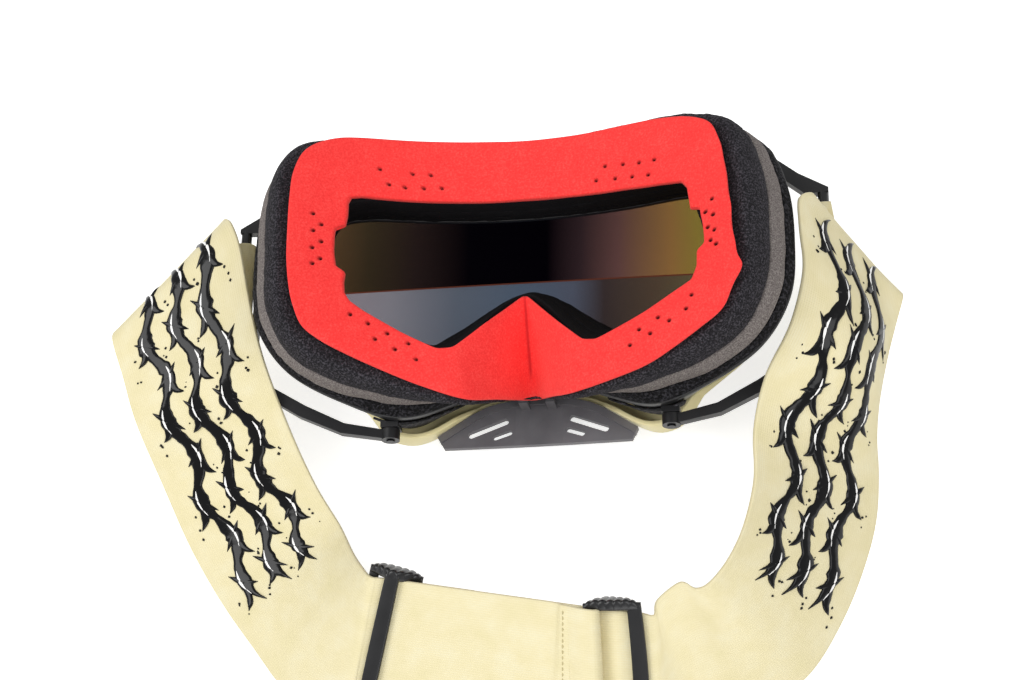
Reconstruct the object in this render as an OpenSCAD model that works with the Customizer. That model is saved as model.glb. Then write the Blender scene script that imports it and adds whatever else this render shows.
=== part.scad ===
/* Motocross goggles lying lens down, with the foam side up and the strap looped in front */

/* [Lens] */
// Radius of the outer face of the cylindrical lens
lens_r = 105; // [100:1:115]
// Thickness of the lens sheet
lens_t = 1.2; // [0.8:0.1:1.6]
// Half of the lens width, measured straight across
lens_half_w = 83.5; // [80:0.5:84.5]
// Highest point of the lens edge, at the brow
lens_top = 66; // [63:0.5:67]
// Lowest point of the lens edge, on the cheeks
lens_low = -20.5; // [-22:0.5:-19]
// Distance of a tear-off post from the middle of the lens
post_x = 70; // [60:1:74]
// Height of the tear-off posts up the lens
post_y = 20; // [10:1:30]
// Radius of a tear-off post
post_r = 2; // [1.5:0.1:2.5]
// Length of a tear-off post in front of the lens
post_l = 2.6; // [2:0.1:4]

/* [Frame] */
// Depth of the outer frame's side wall, from the lens towards the face
wall_h = 8; // [6:0.5:9]
// Distance from the lens edge to the outside of the outer frame
wall_out = 6.5; // [5.5:0.1:7]
// Thickness of the outer frame's wall and front lip
shell_t = 1.6; // [1.2:0.1:2]
// How far the frame's lips cover the lens edge
lip = 3.5; // [2.5:0.1:5]
// Thickness of the flange that carries the foam
flange_t = 2; // [1.5:0.1:2.5]
// Half of the flange width
flange_half_w = 88.5; // [87:0.5:90]
// Highest point of the flange, at the brow
flange_top = 73; // [71:0.5:75]
// Lowest point of the flange, on the cheeks
flange_low = -27.5; // [-29:0.5:-26]
// Height of the flange above the table, at the middle of the brow
flange_z = 24; // [22:0.5:27]
// Height of the flange above the lens at the temples
flange_over = 7.2; // [6:0.1:8.5]
// Half width of the opening inside the flange
port_half_w = 67; // [64:0.5:69]
// Top of the opening inside the flange
port_top = 47; // [45:0.5:48]
// Bottom of the opening inside the flange, on the cheeks
port_low = -4; // [-6:0.5:-3]
// Thickness of the rubber seal between the lens and its seat
seal_t = 0.6; // [0.4:0.1:1]

/* [Face foam] */
// Half of the fleece width
fleece_half_w = 71; // [69:0.5:73]
// Top edge of the fleece
fleece_top = 64; // [62:0.5:66]
// Lowest point of the fleece edge, beside the nose
fleece_low = -27; // [-29:0.5:-25]
// Half width of the eye opening
eye_half_w = 61; // [58:0.5:63]
// Top of the eye opening
eye_top = 42; // [40:0.5:44]
// Bottom of the eye opening, beside the nose
eye_low = -10.5; // [-13:0.5:-9]
// Height of the fleece above the table, at the middle of the brow
fleece_z = 48; // [46:0.5:52]
// Depth of the foam and fleece at the temples
foam_side = 23.5; // [20:0.5:26]
// Drop of the fleece edge at the bridge of the nose
nose_drop = 30; // [26:0.5:31]
// Thickness of the fleece
fleece_t = 2.4; // [1.5:0.1:3]
// Share of the foam's depth taken by the black base layer
base_share = 0.19; // [0.14:0.01:0.24]
// Share of the foam's depth taken by the grey middle layer
middle_share = 0.25; // [0.2:0.01:0.3]
// How far the soft top layer stands out past the fleece
foam_step = 2; // [1:0.1:3]

/* [Nose guard] */
// Half width of the nose guard's lower edge
guard_half_w = 31.5; // [28:0.5:33]
// Lower edge of the nose guard, at its middle
guard_low = -27.2; // [-29:0.1:-26.5]
// Thickness of the nose guard
guard_t = 2.2; // [1.6:0.1:2.6]
// Half width of the flat panel in the middle of the nose guard
guard_flat = 8; // [5:0.5:11]
// Clearance between the nose guard and the outer frame
guard_gap = 0.6; // [0.5:0.05:0.8]

/* [Outriggers] */
// Distance of a strap bar from the middle
bar_x = 98; // [97.5:0.5:101]
// Height of a strap bar
bar_z = 30; // [29:0.5:31]
// Radius of a strap bar
bar_r = 1.8; // [1.4:0.1:1.9]
// Distance of an outrigger hinge from the middle
hinge_x = 46; // [44:0.5:48]
// Height of the outrigger hinges
hinge_z = 23.8; // [23.5:0.1:24.2]
// Radius of a hinge pin
pin_r = 1.4; // [1:0.1:1.6]
// Running clearance of a hinge pin in the outrigger
pin_gap = 0.06; // [0.04:0.01:0.1]
// Outer radius of a hinge eye
eye_r = 3; // [2.8:0.1:3.3]
// Thickness of the outrigger arms
arm_t = 3.2; // [2.6:0.1:3.6]

/* [Strap] */
// Width of the elastic strap
strap_w = 50; // [46:0.5:51]
// Thickness of the elastic strap
strap_t = 1.5; // [1.1:0.1:1.6]
// Thickness of the slider bars
slider_t = 1.6; // [1.2:0.1:1.8]
// Clearance between layers of strap and bars
weave_gap = 0.3; // [0.2:0.05:0.35]
// Distance between the middles of the two sliders
slider_pitch = 77; // [75:0.5:79]
// Distance between neighbouring bars of one slider
bar_pitch = 7; // [6.5:0.1:7.2]
// Slope of the strap at the sliders, in degrees
slider_lean = 28; // [26:0.5:31]
// Height of raised silicone on the strap
print_t = 0.6; // [0.4:0.1:0.9]

/* [Hidden] */

// The origin is on the table, under the middle of the whole part with its strap
middle_x = -9.92;
middle_y = -31.59;
// Heights in the goggles count from the front of the lens, and heights in the strap from the table
module placed() translate([-middle_x, -middle_y, shell_t]) children();
module laid() translate([-middle_x, -middle_y, 0]) children();

// Colours
cream = "#e9e0b4";
black = "#1c1c1e";
grey = "#4a4a4c";
red = "#e2202c";

// Clearance between glued layers, and between seated pieces
glue = 0.1;
seat = 0.3;

// Steps of the smooth curve between two outline points
steps = 4;

// Depth of the lens from its front to its ends, and the rise of the flange and fleece that follow
lens_depth = lens_r - sqrt(lens_r * lens_r - lens_half_w * lens_half_w);
flange_rise = lens_depth + flange_over - flange_z;
fleece_rise = flange_z + flange_rise + foam_side - fleece_z;

// Half outlines from the brow to the nose, as shares of the half width and half height
lens_half = [[0, 1], [.24, 1], [.48, .99], [.72, .9], [.92, .64], [.985, .29], [1, -.06],
    [.965, -.45], [.85, -.72], [.665, -.87], [.51, -1], [.25, -.695], [0, -.605]];
flange_half = [[0, 1], [.225, 1], [.465, .99], [.71, .93], [.905, .7], [.985, .34], [1, -.05],
    [.977, -.41], [.87, -.69], [.68, -.86], [.475, -.95], [.27,-.8], [0,-.54]];
port_half = [[0, 1], [.25, 1], [.51, .995], [.81, .97], [.945, .82], [.985, .4], [1, -.1],
    [.95, -.63], [.82, -.92], [.655, -1], [.49, -.84], [.36, -.59], [0, -.02]];
fleece_half = [[0, 1], [.25, 1], [.52, 1], [.775, .945], [.935, .765], [.99, .385], [1, .03],
    [.985, -.36], [.9, -.66], [.7, -.8], [.465, -.91], [.235, -1], [0, -.76]];
eye_half = [[0, 1], [.28, 1], [.54, .99], [.8, .935], [.905, .77], [.95, .4], [1, -.08],
    [.95, -.5], [.84, -.645], [.655, -.79], [.49, -.94], [.33, -1], [0, -.07]];
// Drop of each outline at the last four points, next to the nose
flange_drop = [0, 0, 4, 8];
port_drop = [0, 0, 1, 3];
fleece_drop = [0, 0, 2, nose_drop];
eye_drop = [0, 0, 0, 13];

function mix(a, b, t) = a + (b - a) * t;
function unit(v) = v / norm(v);
function limit(x, low, high) = max(low, min(high, x));
function curve(a, b, c, d, t) = 0.5 * (2 * b + (c - a) * t + (2 * a - 5 * b + 4 * c - d) * t * t
    + (3 * b - a - 3 * c + d) * t * t * t);
function drop_at(drops, i) = i < 9 ? 0 : drops[i - 9];
// Half outline to a full ring of points in space, on a saddle that rises towards the temples
function ring_points(half, half_w, top, low, z, rise, rise_w, drops) =
    let (mid = (top + low) / 2, half_h = (top - low) / 2,
        right = [for (i = [0 : len(half) - 1]) let (x = half[i][0] * half_w)
            [x, mid + half[i][1] * half_h, z + rise * pow(x / rise_w, 2) - drop_at(drops, i)]])
    concat(right, [for (i = [len(half) - 2 : -1 : 1]) [-right[i][0], right[i][1], right[i][2]]]);
function closed_curve(p, m) = let (n = len(p)) [for (i = [0 : n - 1], j = [0 : m - 1])
    curve(p[(i + n - 1) % n], p[i], p[(i + 1) % n], p[(i + 2) % n], j / m)];
function ring(half, half_w, top, low, z, rise, rise_w, drops) =
    closed_curve(ring_points(half, half_w, top, low, z, rise, rise_w, drops), steps);

flange = ring(flange_half, flange_half_w, flange_top, flange_low, flange_z, flange_rise,
    flange_half_w, flange_drop);
port = ring(port_half, port_half_w, port_top, port_low, flange_z, flange_rise,
    flange_half_w, port_drop);
fleece = ring(fleece_half, fleece_half_w, fleece_top, fleece_low, fleece_z, fleece_rise,
    fleece_half_w, fleece_drop);
eye = ring(eye_half, eye_half_w, eye_top, eye_low, fleece_z, fleece_rise,
    fleece_half_w, eye_drop);
ring_n = len(flange);

// The lens edge as a flat sheet before it is bent: arc length and height
lens_flat = let (mid = (lens_top + lens_low) / 2, half_h = (lens_top - lens_low) / 2,
    right = [for (p = lens_half)
        [lens_r * asin(p[0] * lens_half_w / lens_r) * PI / 180, mid + p[1] * half_h]])
    closed_curve(concat(right, [for (i = [len(right) - 2 : -1 : 1]) [-right[i][0], right[i][1]]]),
        steps);
function turned_out(p, i) =
    let (n = len(p), d = unit(p[(i + 1) % n] - p[(i + n - 1) % n])) [-d[1], d[0]];
// A point of the bent sheet, at height h behind its front face
function bent(s, y, h) = let (a = s / lens_r * 180 / PI)
    [(lens_r - h) * sin(a), y, lens_r - (lens_r - h) * cos(a)];
// A point beside the lens edge: i along it, out away from it, h towards the face
function rim(i, out, h) = let (q = lens_flat[i % ring_n] + out * turned_out(lens_flat, i % ring_n))
    bent(q[0], q[1], h);
// 1 along the brow and cheeks, falling to 0 at the temples, where the frame is shallow
shallow_x = 0.766 * lens_half_w;
shallow_run = 0.263 * lens_half_w;
function deep(i) = limit((shallow_x - abs(rim(i, 0, 0)[0])) / shallow_run, 0, 1);

// Closed ring of equal sections, all triangles. Its second half is split the other way,
// so that the top of one layer matches the underside of the next
module ring_solid(rows) {
    n = len(rows);
    m = len(rows[0]);
    polyhedron(points = [for (r = rows, p = r) p],
        faces = [for (i = [0 : n - 1], j = [0 : m - 1])
            let (a = i * m + j, b = i * m + (j + 1) % m,
                c = ((i + 1) % n) * m + (j + 1) % m, d = ((i + 1) % n) * m + j)
            each j < m / 2 ? [[a, c, b], [a, d, c]] : [[a, d, b], [b, d, c]]]);
}

// Open run of equal sections with its two ends closed, all triangles
module run_solid(rows, flip = false) {
    n = len(rows);
    m = len(rows[0]);
    sides = [for (i = [0 : n - 2], j = [0 : m - 1])
        let (a = i * m + j, b = i * m + (j + 1) % m,
            c = (i + 1) * m + (j + 1) % m, d = (i + 1) * m + j)
        each [[a, b, c], [a, c, d]]];
    half_m = m / 2;
    ends = [for (j = [0 : half_m - 2])
        each [[j, m - 1 - j, j + 1], [j + 1, m - 1 - j, m - 2 - j]]];
    last = (n - 1) * m;
    far_ends = [for (f = ends) [f[0] + last, f[2] + last, f[1] + last]];
    all_faces = concat(sides, ends, far_ends);
    polyhedron(points = [for (r = rows, p = r) p],
        faces = flip ? [for (f = all_faces) [f[0], f[2], f[1]]] : all_faces);
}

// Frame and lens

// The wall is lower beside the nose, where the inner frame leans out over it
nose_cut = 4.6;
nose_cut_x = guard_half_w + 1;
nose_cut_run = 8;
function wall_at(i) =
    let (q = rim(i, 0, 0), near = limit((nose_cut_x - abs(q[0])) / nose_cut_run, 0, 1))
    mix(0.2, wall_h, deep(i)) - (q[1] < 0 ? nose_cut * near : 0);
module outer_frame() color(cream) placed()
    ring_solid([for (i = [0 : ring_n - 1])
        let (k = deep(i), h = wall_at(i), out = mix(wall_out - 2.7, wall_out, k))
        [rim(i, -lip + 0.5, -shell_t), rim(i, out - 1.5, -shell_t), rim(i, out, 0.3 - shell_t / 2),
            rim(i, out, h), rim(i, out - shell_t, h), rim(i, out - shell_t, -glue),
            rim(i, -lip + 0.5, -glue)]]);

// Height of the lens seat behind the front face of the lens
seat_h = lens_t + seal_t + 2 * glue;
module inner_frame() color(black) placed()
    ring_solid([for (i = [0 : ring_n - 1])
        let (under_out = flange[i] - [0, 0, flange_t], under_in = port[i] - [0, 0, flange_t])
        [rim(i, 1, seat_h), under_out, flange[i], port[i], under_in, mix(under_in, under_out, 0.6),
            rim(i, -1, seat_h + 2.8), rim(i, -lip, seat_h + 2), rim(i, -lip, seat_h)]]);

// The bent sheet is made this much taller than the lens, and then cut to the lens edge
spare = 0.1 * lens_r;
module lens() color([0.25, 0.27, 0.3]) placed() intersection() {
    translate([0, lens_top + spare, lens_r]) rotate([90, 0, 0]) difference() {
        cylinder(h = lens_top - lens_low + 2 * spare, r = lens_r, $fn = 180);
        translate([0, 0, -1])
            cylinder(h = lens_top - lens_low + 2 * spare + 2, r = lens_r - lens_t, $fn = 180);
    }
    translate([0, 0, -1]) linear_extrude(lens_r)
        polygon([for (i = [0 : 2 : ring_n - 1]) let (q = rim(i, 0, lens_t / 2)) [q[0], q[1]]]);
}

module lens_seal() color("#101012") placed()
    ring_solid([for (i = [0 : ring_n - 1])
        [rim(i, -1, lens_t + glue), rim(i, -1, lens_t + glue + seal_t),
            rim(i, -lip + 0.4, lens_t + glue + seal_t), rim(i, -lip + 0.4, lens_t + glue)]]);

// One tear-off post stands square on the curved lens
module tear_off_post(side) {
    angle = asin(post_x / lens_r);
    translate([0, post_y, lens_r]) rotate([0, -side * angle, 0])
        translate([0, 0, -lens_r - post_l]) cylinder(h = post_l - glue / 2, r = post_r, $fn = 48);
}
module tear_off_posts() color("#2a2a2c") placed() for (side = [-1, 1]) tear_off_post(side);

// Foam

// Points on the foam's outer and inner wall, at a share of its depth
function foam_out(i, f) = mix(flange[i], fleece_side(i), f);
function foam_in(i, f) = mix(port[i], eye[i], f);
function fleece_side(i) = fleece[i] + foam_step * outward(fleece, i);
function outward(r, i) = let (n = len(r), d = r[(i + 1) % n] - r[(i + n - 1) % n])
    unit([-d[1], d[0], 0]);
fleece_share = 1 - fleece_t / (fleece_z - flange_z);
middle_start = base_share;
top_start = base_share + middle_share;

module foam_base() color("#151517") placed()
    ring_solid([for (i = [0 : ring_n - 1]) let (lift = [0, 0, glue])
        [foam_out(i, 0) + lift, foam_out(i, base_share), foam_in(i, base_share),
            foam_in(i, 0) + lift]]);
module foam_middle() color("#858080") placed()
    ring_solid([for (i = [0 : ring_n - 1]) let (lift = [0, 0, glue])
        [foam_out(i, middle_start) + lift, foam_out(i, top_start),
            foam_in(i, top_start), foam_in(i, middle_start) + lift]]);
module foam_top() color("#3f3e40") placed()
    ring_solid([for (i = [0 : ring_n - 1]) let (lift = [0, 0, glue], f = fleece_share)
        [foam_out(i, top_start) + lift, foam_out(i, mix(top_start, f, 0.75)),
            mix(foam_out(i, f), foam_in(i, f), 0.05), foam_in(i, f), foam_in(i, top_start) + lift]]);
module face_fleece() color(red) placed()
    ring_solid([for (i = [0 : ring_n - 1])
        let (low_out = mix(foam_out(i, fleece_share), foam_in(i, fleece_share), 0.12),
            low_in = mix(foam_in(i, fleece_share), foam_out(i, fleece_share), 0.02),
            lift = [0, 0, 2 * glue])
        [low_out + lift, mix(low_out, fleece[i], 0.8), mix(fleece[i], eye[i], 0.15) + [0, 0, 0.6],
            mix(fleece[i], eye[i], 0.85) + [0, 0, 0.6], mix(low_in, eye[i], 0.8), low_in + lift]]);

vent_gap = 0.5;
low_vent_gap = 1.5;
vent_t = 2;
// Vent foam lies along the frame's wall, from the outer frame to a share of the wall's height
function vent_row(i, gap, top) =
    let (low = rim(i, 1, seat_h), high = flange[i] - [0, 0, flange_t], off = outward(flange, i))
    [mix(low, high, 0.45) + gap * off, mix(low, high, top) + gap * off,
        mix(low, high, top) + (gap + vent_t) * off, mix(low, high, 0.45) + (gap + vent_t) * off];
top_vent_reach = 7;
module vent_foam_top() color("#232325") placed()
    run_solid([for (i = [-top_vent_reach : top_vent_reach])
        vent_row((i + ring_n) % ring_n, vent_gap, 0.9)]);
// Stations of the cheek vents, from the clip's clearance to the nose guard
vent_clear = 2.5;
last_vent = 44;
low_vent = [for (i = [38 : last_vent]) if (rim(i, 0, 0)[0] < hinge_x - eye_r - vent_clear) i];
module vent_foam_low() color("#232325") placed() {
    run_solid([for (i = low_vent) vent_row(i, low_vent_gap, 1)]);
    run_solid([for (i = [ring_n - last_vent : ring_n - low_vent[0]]) vent_row(i, low_vent_gap, 1)]);
}

// Nose guard

guard_mid_z = 2.6;
guard_side_z = 7.5;
// The lower edge drops a little towards the corners, which are cut back, and the side panels are
// drawn this wide before they are trimmed
guard_drop = 1.2;
guard_corner = [0.7, 1.4];
panel_reach = 40;
// Ends and half width of the long and the short slot on each side
long_slot = [[11.4, -18.7], [22.6, -23.6]];
long_slot_r = 1.1;
short_slot = [[10, -22.6], [14.6, -24.4]];
short_slot_r = 0.9;
// A raised band runs along the guard's upper edge
band_w = 2.4;
band_h = 0.7;
guard_edge = [for (i = [41 : 55]) let (q = rim(i, wall_out + guard_gap, 3)) [q[0], q[1]]];
band_edge = [for (i = [55 : -1 : 41]) let (q = rim(i, wall_out + guard_gap + band_w, 3)) [q[0], q[1]]];
// A flat middle and two sides that slant back, this thick
module guard_slab(t) translate([0, panel_reach / 2, 0]) rotate([90, 0, 0])
    linear_extrude(2 * panel_reach) polygon([[-panel_reach, guard_side_z],
        [-guard_flat, guard_mid_z], [guard_flat, guard_mid_z], [panel_reach, guard_side_z],
        [panel_reach, guard_side_z + t], [guard_flat, guard_mid_z + t],
        [-guard_flat, guard_mid_z + t], [-panel_reach, guard_side_z + t]]);
module nose_guard() color(grey) placed() difference() {
    union() {
        intersection() {
            guard_slab(guard_t + band_h);
            linear_extrude(panel_reach) polygon(concat(guard_edge, band_edge));
        }
        intersection() {
            guard_slab(guard_t);
            linear_extrude(panel_reach) polygon(concat(
                guard_edge,
                [[-guard_half_w - guard_corner[0], guard_low - guard_drop + guard_corner[1]],
                    [-guard_half_w, guard_low - guard_drop], [-guard_flat, guard_low],
                    [guard_flat, guard_low], [guard_half_w, guard_low - guard_drop],
                    [guard_half_w + guard_corner[0], guard_low - guard_drop + guard_corner[1]]]));
        }
        for (side = [-1, 1]) guard_hook(side);
    }
    for (side = [-1, 1]) {
        guard_slot(long_slot, long_slot_r, side);
        guard_slot(short_slot, short_slot_r, side);
    }
}
// Slot between two points, with round ends, right through the guard
module guard_slot(ends, r, side) mirror([side < 0 ? 1 : 0, 0, 0]) {
    run = ends[1] - ends[0];
    long = norm(run);
    translate([ends[0][0], ends[0][1], -1]) rotate([0, 0, atan2(run[1], run[0])]) {
        translate([0, -r, 0]) cube([long, 2 * r, 20]);
        cylinder(h = 20, r = r, $fn = 24);
        translate([long, 0, 0]) cylinder(h = 20, r = r, $fn = 24);
    }
}
// Hook that reaches over the outer frame's wall and holds the guard
hook_x = 4.5;
hook_w = 3;
hook_t = 1.8;
hook_back = 4.2;
hook_reach = 6;
module guard_hook(side) {
    start_y = rim(ring_n / 2, wall_out + guard_gap, 3)[1] - hook_back;
    foot_z = guard_mid_z + 0.4;
    top_z = wall_h + guard_gap + 0.9;
    translate([side * hook_x - hook_w / 2, start_y, foot_z])
        cube([hook_w, hook_t, top_z + hook_t - foot_z]);
    translate([side * hook_x - hook_w / 2, start_y, top_z]) cube([hook_w, hook_reach, hook_t]);
}

// Outriggers

// Each hinge has a clip on the frame, then the outrigger's eye, both on one pin along the height
clip_t = 2;
low_clip_y = flange_low + 2.8;
high_clip_y = max(lens_top + 2, flange_top) - 0.9;
eye_w = 3.6;
eye_gap = 0.25;
function clip_edge(k) = k < 0 ? low_clip_y - clip_t : high_clip_y;
function eye_y(k) = k < 0 ? low_clip_y - clip_t - eye_gap - eye_w : high_clip_y + clip_t + eye_gap;
module upright_cylinder(x, y, z, h, r) translate([x, y, z]) rotate([-90, 0, 0])
    cylinder(h = h, r = r, $fn = 48);
module arm_clips() color(black) placed() for (side = [-1, 1], k = [-1, 1]) difference() {
    translate([side * hinge_x - eye_r, clip_edge(k), hinge_z - eye_r])
        cube([2 * eye_r, clip_t, 2 * eye_r]);
    upright_cylinder(side * hinge_x, clip_edge(k) - 1, hinge_z, clip_t + 2, pin_r + 0.02);
}
module hinge_pins() color("#8a8a8c") placed() for (side = [-1, 1]) {
    upright_cylinder(side * hinge_x, eye_y(-1) - 0.5, hinge_z, eye_w + eye_gap + clip_t + 0.5, pin_r);
    upright_cylinder(side * hinge_x, high_clip_y, hinge_z, eye_w + eye_gap + clip_t + 0.5, pin_r);
}

spine_w = 1.8;
slot_w = strap_t + 4 * weave_gap;
bar_end_low = -7.5;
bar_end_high = bar_end_low + strap_w + 3;
// How far along an arm, from the hinge to the strap bar, a point of its outline lies
function reach(t) = mix(hinge_x, bar_x, t);
module outrigger(side) {
    in_x = bar_x - bar_r - slot_w;
    out_x = bar_x + bar_r;
    low_y = eye_y(-1);
    high_y = eye_y(1);
    top_y = high_y + eye_w;
    clip_end = hinge_x + eye_r + 0.4;
    mirror([side < 0 ? 1 : 0, 0, 0]) difference() {
        union() {
            intersection() {
                translate([0, 1.5 * flange_top, 0]) rotate([90, 0, 0]) linear_extrude(3 * flange_top)
                    polygon([[hinge_x, hinge_z - arm_t / 2], [bar_x + 4, bar_z - arm_t / 2 + 0.6],
                        [bar_x + 4, bar_z + arm_t / 2 + 0.6], [hinge_x, hinge_z + arm_t / 2]]);
                linear_extrude(2 * bar_z) polygon([[hinge_x, low_y],
                    [reach(0.31), mix(low_y, bar_end_low - 2, 0.11)],
                    [reach(0.58), mix(low_y, bar_end_low - 2, 0.4)],
                    [reach(0.81), mix(low_y, bar_end_low - 2, 0.75)],
                    [out_x - 1, bar_end_low - 2], [out_x, bar_end_low - 1], [out_x, bar_end_low],
                    [in_x, bar_end_low], [in_x, bar_end_high], [out_x, bar_end_high],
                    [out_x, bar_end_high + 1.5], [reach(0.85), mix(bar_end_high + 1.5, top_y, 0.21)],
                    [reach(0.7), mix(bar_end_high + 1.5, top_y, 0.44)],
                    [reach(0.37), mix(bar_end_high + 1.5, top_y, 0.81)], [hinge_x, top_y],
                    [hinge_x, high_y], [clip_end, high_y],
                    [reach(0.36), mix(bar_end_high + 0.5, high_y, 0.81)],
                    [reach(0.65), mix(bar_end_high + 0.5, high_y, 0.39)],
                    [in_x - spine_w, bar_end_high + 0.5], [in_x - spine_w, bar_end_low - 1.5],
                    [reach(0.75), mix(low_y + eye_w, bar_end_low - 1.5, 0.83)],
                    [reach(0.54), mix(low_y + eye_w, bar_end_low - 1.5, 0.47)],
                    [reach(0.29), mix(low_y + eye_w, bar_end_low - 1.5, 0.12)],
                    [clip_end, low_y + eye_w],
                    [hinge_x, low_y + eye_w]]);
            }
            upright_cylinder(bar_x, bar_end_low - 1, bar_z, bar_end_high - bar_end_low + 2, bar_r);
            upright_cylinder(hinge_x, low_y, hinge_z, eye_w, eye_r);
            upright_cylinder(hinge_x, high_y, hinge_z, eye_w, eye_r);
        }
        upright_cylinder(hinge_x, low_y - 1, hinge_z, high_y - low_y + eye_w + 2, pin_r + pin_gap);
    }
}
module outrigger_left() color(black) placed() outrigger(-1);
module outrigger_right() color(black) placed() outrigger(1);

// Strap

// The sliders' own directions: along the strap, up across it, and out of its outer face
turn = -10.4;
along = [cos(turn), sin(turn), 0];
across = [-sin(turn) * cos(slider_lean), cos(turn) * cos(slider_lean), sin(slider_lean)];
outside = cross(along, across);
first_slider = [-49.5, -100.4, 19];
function woven(a, b, n) = first_slider + a * along + b * across + n * outside;
// Heights of the woven layers
layer = strap_t + weave_gap;
half_bar = (strap_t + slider_t) / 2 + weave_gap;
right_layer = -layer;
// A straight crossing of the strap at a, with its ends turned by skew degrees and moved down
function crossing(a, n, skew, down = 0) = let (k = strap_w / 2 * tan(skew))
    [woven(a - k, -strap_w / 2 - down, n), woven(a + k, strap_w / 2 - down, n), 0];
left_skew = 8;
right_skew = -8;

// The hand-set stations of each half, from its outrigger bar to the sliders:
// lower edge, upper edge, and how much the strap arches between them
bar_low = bar_end_low + 1.5;
wrap_r = bar_r + 1.5 * weave_gap + strap_t / 2;
loop_z = bar_z + shell_t;
under_z = loop_z - wrap_r;
hidden = 1.2;
left_stations = [
    [[-bar_x, bar_low, under_z], [-bar_x, bar_low + strap_w, under_z], 0],
    [[-108, -4.5, 28], [-102.5, 44, 28.6], 0],
    [[-122, 0, 28], [-104, 44.5, 31], 0],
    [[-133.5, 5.5, 28.5], [-103.5, 45, 35], 0],
    [[-138.5, 9.5, 30.5], [-103, 46, 40], 0],
    [[-140.5, 10.5, 33.5], [-101, 45, 45], 0],
    [[-141, 8, 36.5], [-97.5, 41, 49], 0],
    [[-140, 3.5, 36.5], [-94, 31.5, 48.5], 0],
    [[-137.5, -5.5, 32.5], [-90.5, 12, 44], 0],
    [[-133.5, -20, 27], [-85.5, -7, 40.5], 0],
    [[-127, -38, 14], [-79, -27, 27.5], 0],
    [[-119, -57, 5], [-73, -41.5, 16], 0],
    [[-108, -75.5, 1.2], [-65, -54.5, 13.5], 0],
    [[-95.5, -92, 0.8], [-58.6, -66, 20], 0],
    [[-83, -107, 2], [-53.5, -73.4, 27], 0],
    crossing(-11, 0, left_skew),
    crossing(-9, 0, left_skew),
    crossing(9, 0, left_skew),
    crossing(slider_pitch / 2, 0, 0),
    crossing(slider_pitch - 22, 0, 0),
    crossing(slider_pitch - 17, layer, right_skew / 2),
    crossing(slider_pitch - 13, layer + 0.4, right_skew)];
right_stations = [
    [[bar_x, bar_low, under_z], [bar_x, bar_low + strap_w, under_z], 0],
    [[104, -4, 27], [102.3, 43.5, 28.6], 0],
    [[111, 1, 21.5], [104, 43.5, 33.5], 0],
    [[115.5, 7, 15.5], [101, 42, 41], 0],
    [[119.5, 13.5, 16], [95.5, 40.5, 47.5], 0],
    [[121, 11.5, 20], [91.5, 35.5, 52], 0],
    [[118.5, 3.5, 18], [91, 24, 51], 3],
    [[115, -7, 15], [90.5, 10, 48.5], 7],
    [[112, -19, 13], [85.5, -6.5, 45], 9],
    [[110.2, -31, 7], [77, -21, 39.5], 5],
    [[110, -42, 3.2], [72.6, -37, 36], 1.5],
    [[108.5, -56, 1.2], [72, -53, 35], 0],
    [[104.5, -70, 0.8], [68.5, -68, 36], 0],
    [[97, -87.5, 0.8], [63.5, -79, 37], 0],
    [[86, -105, 1], [57.5, -86, 36], 0],
    [[73, -115.5, 2], [53, -87, 33.5], 0],
    [[61, -121, 3.5], [48.5, -85.5, 35.5], 0],
    [[50, -126, 4.5], [41, -89.5, 31.5], 0],
    crossing(slider_pitch + 13, right_layer, right_skew),
    crossing(slider_pitch + 9.2, right_layer, right_skew),
    crossing(slider_pitch - 9.2, right_layer, right_skew, hidden),
    crossing(slider_pitch / 2, right_layer, 0, hidden),
    crossing(bar_pitch + 8, right_layer, left_skew, hidden)];

function open_curve(p, m) = let (n = len(p)) concat([for (i = [0 : n - 2], j = [0 : m - 1])
    let (a = p[max(i - 1, 0)], b = p[i], c = p[i + 1], d = p[min(i + 2, n - 1)])
    [for (k = [0 : 2]) curve(a[k], b[k], c[k], d[k], j / m)]], [p[n - 1]]);
// The end that wraps an outrigger bar and is sewn back on itself
function bar_wrap(side) = concat(
    [[[side * (bar_x + 8), bar_low + 1, under_z + layer + 0.1],
        [side * (bar_x + 3), bar_low + strap_w, loop_z + wrap_r], 0],
    [[side * (bar_x + 4), bar_low + 0.5, under_z + layer + 2.4], [side * (bar_x + 1.5),
        bar_low + strap_w, loop_z + wrap_r], 0]],
    [for (a = [90 : 25 : 240])
        let (x = side * (bar_x + wrap_r * cos(a)), z = loop_z + wrap_r * sin(a))
        [[x, bar_low, z], [x, bar_low + strap_w, z], 0]]);
// The end that wraps a slider bar at a, and comes back underneath for a distance
loop_r = half_bar;
function slider_wrap(a, n, way, skew, back, down) = concat(
    [crossing(a - 2 * way, n, skew, down)],
    [for (t = [90 : -22.5 : -90])
        crossing(a + way * (1 + loop_r * cos(t)), n - loop_r + loop_r * sin(t), skew, down)],
    [for (d = [2 : 4 : back]) crossing(a - way * d, n - 2 * loop_r, skew, down)]);
held_height = 2 * half_bar;
left_hold = slider_pitch - bar_pitch;
strap_steps = 3;
left_path = concat(bar_wrap(-1), open_curve(left_stations, strap_steps),
    slider_wrap(left_hold, held_height, 1, right_skew, 10, 0));
right_path = concat(bar_wrap(1), open_curve(right_stations, strap_steps),
    slider_wrap(bar_pitch, right_layer, -1, left_skew, 18, hidden));

// The outer face's direction at a station; side is -1 on the left half and 1 on the right
function path_mid(path, i) = (path[i][0] + path[i][1]) / 2;
function path_out(path, i, side) =
    let (n = len(path), d = path_mid(path, min(i + 1, n - 1)) - path_mid(path, max(i - 1, 0)))
    -side * unit(cross(d, path[i][1] - path[i][0]));
// Height of the arch at v, as a share, on the straight cells between quarter points
cells = 4;
function arch(v) = 4 * v * (1 - v);
function arch_on(v) = let (k = min(floor(v * cells), cells - 1))
    mix(arch(k / cells), arch((k + 1) / cells), v * cells - k);
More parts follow.
